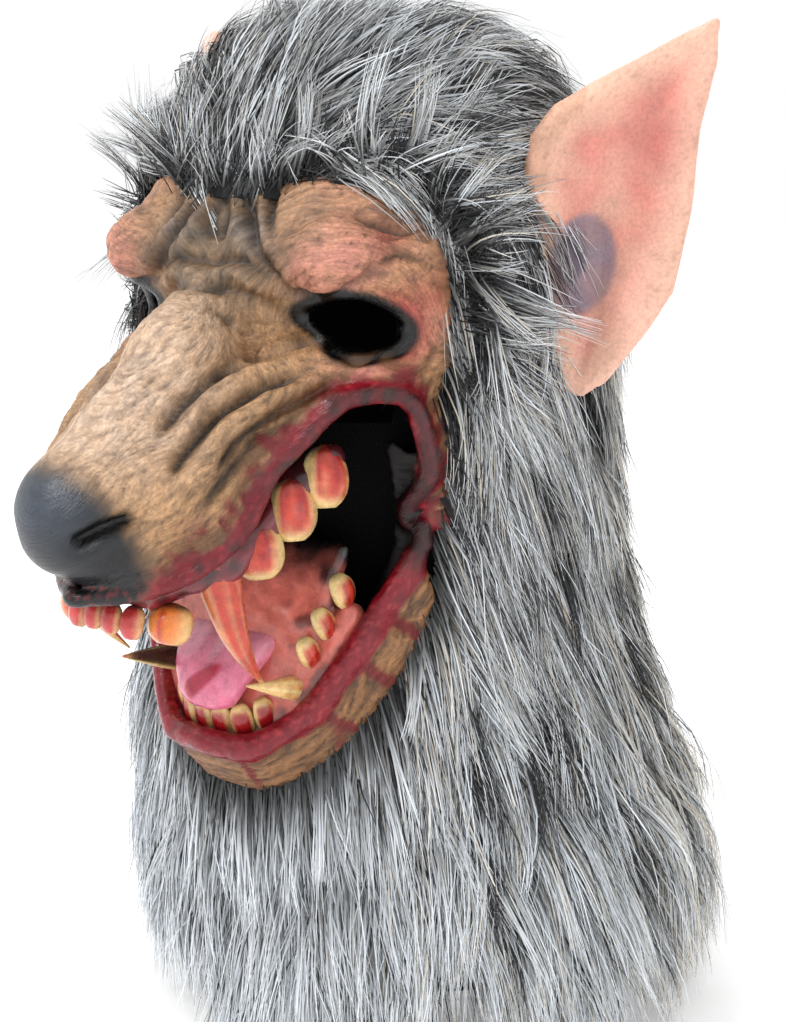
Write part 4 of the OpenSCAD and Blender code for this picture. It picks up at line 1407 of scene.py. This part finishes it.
def make_tongue():
    obj = solid("tongue_latex", tongue_field, (-34, -122, 18), (34, -50, 72), 1.5)
    p, n = points_of(obj), normals_of(obj)
    lumps = noise_at(p, 0.2)
    bumps = noise_at(p, 0.9)
    set_points(obj, p + n * (0.2 * lumps + 0.12 * bumps)[:, None])
    c = np.tile(colour(232, 128, 158), (len(p), 1))
    c = lay(c, colour(206, 84, 118), 0.2 + 0.7 * lumps)
    # painted light: the top of the tongue made lighter pink
    c = lay(c, colour(238, 160, 180), 0.7 * step(42, 58, p[:, 2]))
    stroke, _ = line_distance(p, arr((-4, -106, 38), (9, -104, 51)))
    c = lay(c, colour(176, 30, 64), step(5.0, 3.0, stroke))
    # painted shade: the underside of the tongue darkened
    c = lay(c, colour(90, 24, 40), 0.8 * step(30, 22, p[:, 2]))
    colour_attr(obj, "paint", np.clip(c, 0.001, 1))
    return obj


TEETH = {  # group: (root, tip, root radius, flatness, style) of each tooth on the left
    "upper_incisors": [
        ((4.6, -152, 83), (4.8, -154, 74), 4.4, 0.75, "pink"),
        ((13.4, -150, 83), (14, -153, 73), 4.8, 0.75, "pink"),
        ((24, -141, 83), (24, -144, 71), 8.6, 0.75, "amber"),
    ],
    "upper_canine": [((33, -127, 96), (36, -107, 49), 8.2, 0.85, "fang")],
    "upper_cheek_teeth": [
        ((40, -113, 109), (42, -113, 92), 9.4, 0.65, "molar"),
        ((46, -100, 124), (48, -101, 105), 8.8, 0.65, "molar"),
        ((51, -87, 135), (53, -89, 116), 9.2, 0.65, "molar"),
    ],
    "lower_incisors": [
        ((4.4, -92, 17), (4.8, -98, 31), 4.9, 0.75, "dark"),
        ((13, -91, 18), (13.4, -96, 32), 5.0, 0.75, "dark"),
        ((21, -86, 21), (21, -92, 35), 4.8, 0.75, "dark"),
    ],
    "lower_canine": [((31, -77, 38), (28, -107, 46), 6.4, 0.85, "low_fang")],
    "lower_cheek_teeth": [
        ((38, -80, 51), (38, -86, 61), 4.7, 0.8, "molar"),
        ((42, -75, 62), (41, -81, 72), 4.8, 0.8, "molar"),
        ((46, -69, 74), (45, -74, 85), 5.4, 0.8, "molar"),
    ],
}
FAR_TIP = (27, -119, 50)  # the right lower canine is longer and points further forward
CREAM_TOOTH = colour(232, 206, 140)
RED_TOOTH = colour(178, 26, 30)
AMBER = colour(222, 120, 48)
PINK_TOOTH = colour(192, 60, 58)
# near-black painted shade for the far lower canine, which sits in the mouth's shade
FAR_FANG_SHADE = colour(16, 12, 14)
MOLAR_RED = colour(198, 66, 42)
TOOTH_ROOT = colour(60, 20, 16)


def tooth_profile(style, radius, length, s):
    """Radius and outward bend at each ring: a tapered fang or an egg-shaped tooth."""
    t = np.clip(s, 0, 1)
    if style in ("fang", "low_fang", "ivory"):
        r = radius * (1 - 0.93 * t**1.15)
    else:
        r = radius * np.sqrt(np.maximum(1 - (np.abs(s - 0.42) / 0.645) ** 2.4, 0))
    bend = (0.16 if style == "fang" else 0.06) * length * np.sin(math.pi * t)
    return np.maximum(r, 0.25), bend


def tooth_paint(style, turn, t, streak):
    """Colours round one ring of a tooth, t of the way from root to tip."""
    c = np.tile(CREAM_TOOTH, (len(turn), 1))
    near = np.cos(turn) > 0
    rim = np.clip(np.abs(np.cos(turn)) * 1.15 - 0.15, 0, 1) ** 2
    red = np.clip(np.sin(turn), 0, 1) * (1 - rim) * (0.55 + 0.6 * streak)
    if style == "fang":
        red = np.clip(0.75 + 0.5 * streak - 0.9 * rim * near, 0, 1)
        c = lay(c, RED_TOOTH * 1.1, red * step(1.02, 0.9, t))
        return lay(c, AMBER, 0.22 * streak)
    if style == "ivory":
        c = lay(c, AMBER, 0.45 * streak)
        return lay(c, RED_TOOTH, 0.5 * streak * step(0.6, 0.1, t))
    if style == "low_fang":
        # painted shade: near-black over the far lower canine except for one cream edge
        c = lay(c, FAR_FANG_SHADE, 0.97 * step(-0.9, -0.6, np.cos(turn)) * step(0.98, 0.8, t))
        return lay(c, RED_TOOTH, 0.8 * step(0.86, 1.0, t))
    if style == "pink":
        return lay(c, PINK_TOOTH, np.clip(red * 1.5 + 0.45, 0, 1))
    if style == "amber":
        c = lay(c, AMBER, np.clip(0.25 + 0.8 * (1 - rim), 0, 1))
        return lay(c, RED_TOOTH, 0.7 * red * step(0.2, 0.8, streak) * near)
    if style == "dark":
        return lay(c, RED_TOOTH * 0.8, np.clip(red * 2.0 + 0.1, 0, 1) * step(1.0, 0.8, t))
    c = lay(c, MOLAR_RED, np.clip(red * 1.9, 0, 1) * step(1.0, 0.7, t))
    return lay(c, RED_TOOTH * 0.8, np.clip(1.3 * red * streak, 0, 1) * step(0.9, 0.3, t))


def tooth_mesh(root, tip, radius, flat, style, rng):
    """Points, quads, end triangles and colours of one tooth, flattened from front to back."""
    root, tip = np.asarray(root, float), np.asarray(tip, float)
    axis, length = unit(tip - root), np.linalg.norm(tip - root)
    out = root - point(0, -70, root[2])
    out = unit(out - axis * (out @ axis))
    across = np.cross(axis, out)
    rings, sides = 16, 22
    s = np.linspace(-0.22, 1, rings)
    r, bend = tooth_profile(style, radius, length, s)
    turn = np.linspace(0, 2 * math.pi, sides, endpoint=False)
    phase = rng.uniform(0, 6)
    points, paint = [], []
    for i in range(rings):
        t = np.clip(s[i], 0, 1)
        wave = 1 + 0.06 * np.sin(turn * 5 + phase) * (1 - t) + 0.03 * np.sin(turn * 9 - phase + 3 * s[i])
        x, y = np.cos(turn) * r[i] * wave, np.sin(turn) * r[i] * flat * wave
        points.append(root + axis * length * s[i] + out * bend[i] + np.outer(x, across) + np.outer(y, out))
        streak = 0.5 + 0.5 * np.sin(turn * 7 + phase * 2 + 2.4 * s[i] + rng.uniform(-0.4, 0.4, sides))
        c = tooth_paint(style, turn, t, streak)
        paint.append(lay(c, TOOTH_ROOT, 0.8 * step(0.02, -0.16, s[i])))
    points.append(np.array([root + axis * (length + 0.2)]))
    paint.append(paint[-1][:1])
    last = (rings - 1) * sides
    quads = [(i, j, j + sides, i + sides) for i, j in ring_pairs(sides, last)]
    tris = [(last + j, last + (j + 1) % sides, rings * sides) for j in range(sides)]
    return np.concatenate(points), quads, tris, np.concatenate(paint)


def ring_pairs(sides, end):
    """Each point and the next one round its ring, for every point before end."""
    return [(i, i - sides + 1 if i % sides == sides - 1 else i + 1) for i in range(end)]


def make_teeth(name, group, sides, rng):
    """All the teeth of one node in one mesh."""
    verts, faces, paint = [], [], []
    for side in sides:
        for root, tip, radius, flat, style in TEETH[group]:
            # the near lower canine keeps ivory paint; the far one gets near-black painted shade
            if style == "low_fang" and side > 0:
                style = "ivory"
            elif style == "low_fang":
                tip = FAR_TIP
            pts, quads, tris, c = tooth_mesh(root, tip, radius, flat, style, rng)
            if side < 0:
                pts = pts * [-1, 1, 1]
                quads = [f[::-1] for f in quads]
                tris = [f[::-1] for f in tris]
            at = sum(len(v) for v in verts)
            verts.append(pts)
            faces += [tuple(i + at for i in f) for f in quads + tris]
            paint.append(c)
    me = bpy.data.meshes.new(name)
    me.from_pydata([tuple(v) for v in np.concatenate(verts) * M], [], faces)
    me.polygons.foreach_set("use_smooth", np.ones(len(me.polygons), bool))
    obj = bpy.data.objects.new(name, me)
    bpy.context.scene.collection.objects.link(obj)
    colour_attr(obj, "paint", np.clip(np.concatenate(paint), 0.001, 1))
    return obj


def gloss_material(name, rough, bump_mm, scale):
    mat, nt, shader = new_material(name)
    obj_co = coords(nt)
    streak = noise_of(nt, obj_co, scale, 5, 0.65)
    fine = noise_of(nt, obj_co, scale * 5, 3, 0.6)
    specks = remap(nt, fine, 0.3, 0.7, 0.88, 1.08)
    shade = calc(nt, "MULTIPLY", remap(nt, streak, 0.3, 0.7, 0.72, 1.18), specks)
    shaded_paint(nt, shader, shade)
    nt.links.new(remap(nt, streak, 0.3, 0.7, rough, rough + 0.14), shader.inputs["Roughness"])
    shader.inputs["Coat Weight"].default_value = 0.35
    shader.inputs["Coat Roughness"].default_value = 0.12
    bump(nt, shader, calc(nt, "ADD", streak, calc(nt, "MULTIPLY", fine, 0.3)), 0.5, bump_mm)
    return mat


# ---------- shell, pads and screen ----------


def grid_mesh(name, rows):
    """A mesh from rows of points that aren't joined round."""
    rows = np.asarray(rows)
    return mesh_of(name, rows.reshape(-1, 3), grid_quads(*rows.shape[:2]))


def section_rows(front, back, half, z, turn):
    """Points round oval sections at heights z, one row for each."""
    y = (front + back)[:, None] / 2 - (back - front)[:, None] / 2 * np.cos(turn)
    return np.stack([half[:, None] * np.sin(turn), y, np.repeat(z[:, None], len(turn), axis=1)], axis=-1)


def make_cowl():
    """The black latex shell under the fur, open at the face and the neck."""
    turn = np.linspace(0, 2 * math.pi, 121)
    z = np.concatenate([np.linspace(0, 190, 48), 190 + 95.6 * np.sin(np.linspace(0, math.pi / 2, 24))[1:]])
    front, back, half = section(HEAD, z, 0)
    rows = section_rows(front, back, half, z, turn)
    quads = grid_quads(*rows.shape[:2])
    pts = rows.reshape(-1, 3)
    centre = pts[quads].mean(axis=1)
    jaw = jaw_field(fold(centre)) < 7
    inside = outline_field(np.abs(centre[:, 0]), centre[:, 2], SHIELD + [(0, 58)]) < -2
    face_hole = inside & (centre[:, 1] < edge_y(centre[:, 2]) + 3)
    quads = quads[~(face_hole | jaw)]
    obj = mesh_part("cowl_shell", pts, quads)
    wall = obj.modifiers.new("wall", "SOLIDIFY")
    wall.thickness = 2.8 * M
    wall.offset = -1
    return obj


def make_screen():
    turn = np.radians(np.linspace(-50, 50, 61))
    z = np.linspace(56, 144, 50)
    front, back, half = section(HEAD, z, 0)
    rows = section_rows(front + 4, back - 4, half - 4, z, turn)
    ripple = 0.4 * np.sin(rows[..., 0] * 0.4) * np.sin(rows[..., 2] * 0.3)
    rows[..., 1] += ripple
    return grid_mesh("throat_mesh", rows)


def make_pad(node):
    """A foam pad: the node's own form, remeshed, rounded over and slightly lumpy."""
    source = frame["nodes"][node]
    obj = bpy.data.objects.new(node + "_foam", source.data.copy())
    bpy.context.scene.collection.objects.link(obj)
    obj.data.materials.clear()
    for key in list(obj.data.attributes.keys()):
        if key.lower().startswith("col") or key == "Color":
            obj.data.attributes.remove(obj.data.attributes[key])
    mesh = obj.modifiers.new("even", "REMESH")
    mesh.mode = "VOXEL"
    mesh.voxel_size = 1.6 * M
    soft = obj.modifiers.new("soft", "SMOOTH")
    soft.factor = 0.7
    soft.iterations = 10
    bpy.context.view_layer.update()
    done = bpy.data.meshes.new_from_object(obj.evaluated_get(bpy.context.evaluated_depsgraph_get()))
    obj.modifiers.clear()
    obj.data = done
    p, n = points_of(obj), normals_of(obj)
    lumps = noise_at(p, 0.12)
    set_points(obj, p + n * (0.25 * lumps)[:, None])
    done.polygons.foreach_set("use_smooth", np.ones(len(done.polygons), bool))
    return obj


def plain_material(name, tint, rough, scale, strength, depth_mm, contrast=0.3):
    mat, nt, shader = new_material(name)
    obj_co = coords(nt)
    grain = noise_of(nt, obj_co, scale, 5, 0.65)
    broad = noise_of(nt, obj_co, scale / 14, 3, 0.5)
    tint = np.asarray(tint)
    a = ramp(nt, calc(nt, "ADD", calc(nt, "MULTIPLY", grain, 0.6), calc(nt, "MULTIPLY", broad, 0.4)),
             [(0.3, tuple(tint * (1 - contrast))), (0.7, tuple(np.clip(tint * (1 + contrast), 0, 1)))])
    nt.links.new(a, shader.inputs["Base Color"])
    nt.links.new(remap(nt, broad, 0.3, 0.7, rough - 0.05, rough + 0.08), shader.inputs["Roughness"])
    bump(nt, shader, grain, strength, depth_mm)
    return mat


def woven_material():
    mat, nt, shader = new_material("woven_screen")
    obj_co = coords(nt)
    waves = []
    for direction in ("X", "Z"):
        wave = nt.nodes.new("ShaderNodeTexWave")
        wave.bands_direction = direction
        wave.inputs["Scale"].default_value = 420
        wave.inputs["Distortion"].default_value = 0.4
        nt.links.new(obj_co, wave.inputs["Vector"])
        waves.append(wave.outputs["Fac"])
    weave = calc(nt, "MULTIPLY", waves[0], waves[1])
    tone = ramp(nt, weave, [(0.0, (0.001, 0.001, 0.001)), (1.0, (0.009, 0.009, 0.01))])
    nt.links.new(tone, shader.inputs["Base Color"])
    shader.inputs["Roughness"].default_value = 1.0
    shader.inputs["Specular IOR Level"].default_value = 0.05
    bump(nt, shader, weave, 0.6, 0.4)
    return mat


# ---------- build ----------

def make_camera():
    cam = bpy.data.objects.new("camera", bpy.data.cameras.new("camera"))
    bpy.context.scene.collection.objects.link(cam)
    cam.location = (0.463, -0.5731, 0.2611)
    aim = Vector((0.00946, 0.00739, 0.091)) - cam.location
    cam.rotation_mode = "QUATERNION"
    cam.rotation_quaternion = aim.to_track_quat("-Z", "Y")
    cam.data.lens = 61.64
    cam.data.sensor_width = 36
    cam.data.clip_start = 0.01
    bpy.context.scene.camera = cam
    return cam


def area_light(name, place, size, power, colour=(1, 1, 1)):
    lamp = bpy.data.lights.new(name, "AREA")
    lamp.shape = "DISK"
    lamp.size = size
    lamp.energy = power
    lamp.color = colour
    obj = bpy.data.objects.new(name, lamp)
    obj.location = place
    aim = Vector((0, -0.05, 0.1)) - Vector(place)
    obj.rotation_mode = "QUATERNION"
    obj.rotation_quaternion = aim.to_track_quat("-Z", "Y")
    bpy.context.scene.collection.objects.link(obj)


FLOOR_HALF = 5.0  # in m
FLOOR_DROP = 0.012  # in m, for the pile that hangs past the CAD model


def make_studio():
    scene = bpy.context.scene
    scene.view_settings.view_transform = "Standard"
    world = bpy.data.worlds.new("studio")
    scene.world = world
    world.use_nodes = True
    back = world.node_tree.nodes["Background"]
    back.inputs[0].default_value = (1, 1, 1, 1)
    back.inputs[1].default_value = 1.0
    area_light("key", (-0.35, -1.15, 1.35), 0.5, 15)
    area_light("fill", (1.5, -0.5, 0.35), 1.0, 2.5)
    area_light("rim", (-1.0, 0.9, 0.9), 0.9, 5)
    span = np.linspace(-FLOOR_HALF, FLOOR_HALF, 24)
    y, x = np.meshgrid(span, span, indexing="ij")
    floor = grid_mesh("floor", np.stack([x, y, np.full(x.shape, CAD_BOX[0].z - FLOOR_DROP)], axis=-1) / M)
    mat = bpy.data.materials.new("floor")
    mat.use_nodes = True
    shader = mat.node_tree.nodes["Principled BSDF"]
    shader.inputs["Base Color"].default_value = (0.93, 0.93, 0.93, 1)
    shader.inputs["Roughness"].default_value = 0.9
    shader.inputs["Emission Color"].default_value = (1, 1, 1, 1)
    shader.inputs["Emission Strength"].default_value = 0.22
    floor.data.materials.append(mat)


def finish_piece(obj, mat, body, nodes=()):
    """Gives a piece its material, the body that it rides on and the nodes that it stands for."""
    obj.data.materials.clear()
    obj.data.materials.append(mat)
    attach(obj, body)
    if nodes:
        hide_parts(*nodes)


def build_face():
    """One skin for the face and jaw, which bends across the jaw's hinge."""
    face = make_face()
    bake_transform(face, "head", "jaw", start=(0, -0.075, 0.110), end=(0, -0.062, 0.070))
    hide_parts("face", "jaw")
    sculpt(face)
    face.data.materials.append(skin_material())
    ear_mat = latex_material("ear_latex", 0.8, 0.45, 0.5)
    for side, word in SIDES:
        ear = make_ear(side, "ear_" + word + "_latex")
        finish_piece(ear, ear_mat, "ear_" + word, ["ear_" + word])


def build_mouth():
    gum_mat = gloss_material("gum_wet", 0.22, 0.9, 90)
    upper = make_gum("upper_gum_latex", gum_upper, (-62, -164, 78), (62, -70, 150), paint_upper_gum)
    finish_piece(upper, gum_mat, "head", ["upper_gum"])
    lower = make_gum("lower_gum_latex", gum_lower, (-60, -108, 0), (60, -54, 104), paint_lower_gum)
    finish_piece(lower, gum_mat, "jaw", ["lower_gum"])
    finish_piece(make_tongue(), gloss_material("tongue_wet", 0.24, 0.6, 160), "tongue", ["tongue"])
    tooth_mat = gloss_material("tooth_paint", 0.2, 0.35, 220)
    rng = np.random.default_rng(5)
    for group, body, slot, split in TOOTH_GROUPS:
        sets = [("_" + word, (side,)) for side, word in SIDES] if split else [("", (1, -1))]
        for ending, sides in sets:
            teeth = make_teeth(group + ending + "_cast", group, sides, rng)
            finish_piece(teeth, tooth_mat, body, [group + ending])


def build_shell():
    """The shell under the fur, the screen behind the mouth and the foam pads."""
    black = plain_material("black_latex", (0.006, 0.006, 0.007), 0.9, 260, 0.4, 0.6)
    finish_piece(make_cowl(), black, "head", ["cowl"])
    screen = make_screen()
    finish_piece(screen, woven_material(), "head", ["throat_screen"])
    foam_mat = plain_material("foam", (0.07, 0.07, 0.078), 0.95, 900, 0.8, 0.7, 0.5)
    for node in ("brow_pad", "crown_pad", "nape_pad", "chin_pad"):
        pad = make_pad(node)
        finish_piece(pad, foam_mat, frame["nodes"][node]["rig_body"], [node])


def build_fur():
    piles, grid = make_fur()
    backings = make_backings(grid)
    pile_mat = fur_material()
    back_mat = plain_material("fur_backing", (0.004, 0.004, 0.005), 0.95, 1400, 0.4, 0.3)
    beard, strip = make_beard()
    finish_piece(beard, pile_mat, "jaw", ["beard"])
    finish_piece(strip, back_mat, "jaw")
    fringe = make_fringe()
    finish_piece(fringe, pile_mat, "head")
    for name, pieces in piles.items():
        for pile in pieces:
            finish_piece(pile, pile_mat, "head", [name])
        finish_piece(backings[name], back_mat, "head")


SIDES = ((1, "left"), (-1, "right"))
TOOTH_GROUPS = (  # group, body, slot and whether each side is a piece of its own
    ("upper_incisors", "head", "front_teeth", False),
    ("upper_canine", "head", "fangs", True),
    ("upper_cheek_teeth", "head", "back_teeth", True),
    ("lower_incisors", "jaw", "front_teeth", False),
    ("lower_canine", "jaw", "fangs", True),
    ("lower_cheek_teeth", "jaw", "back_teeth", True),
)

make_camera()
make_studio()
build_face()
build_mouth()
build_shell()
build_fur()
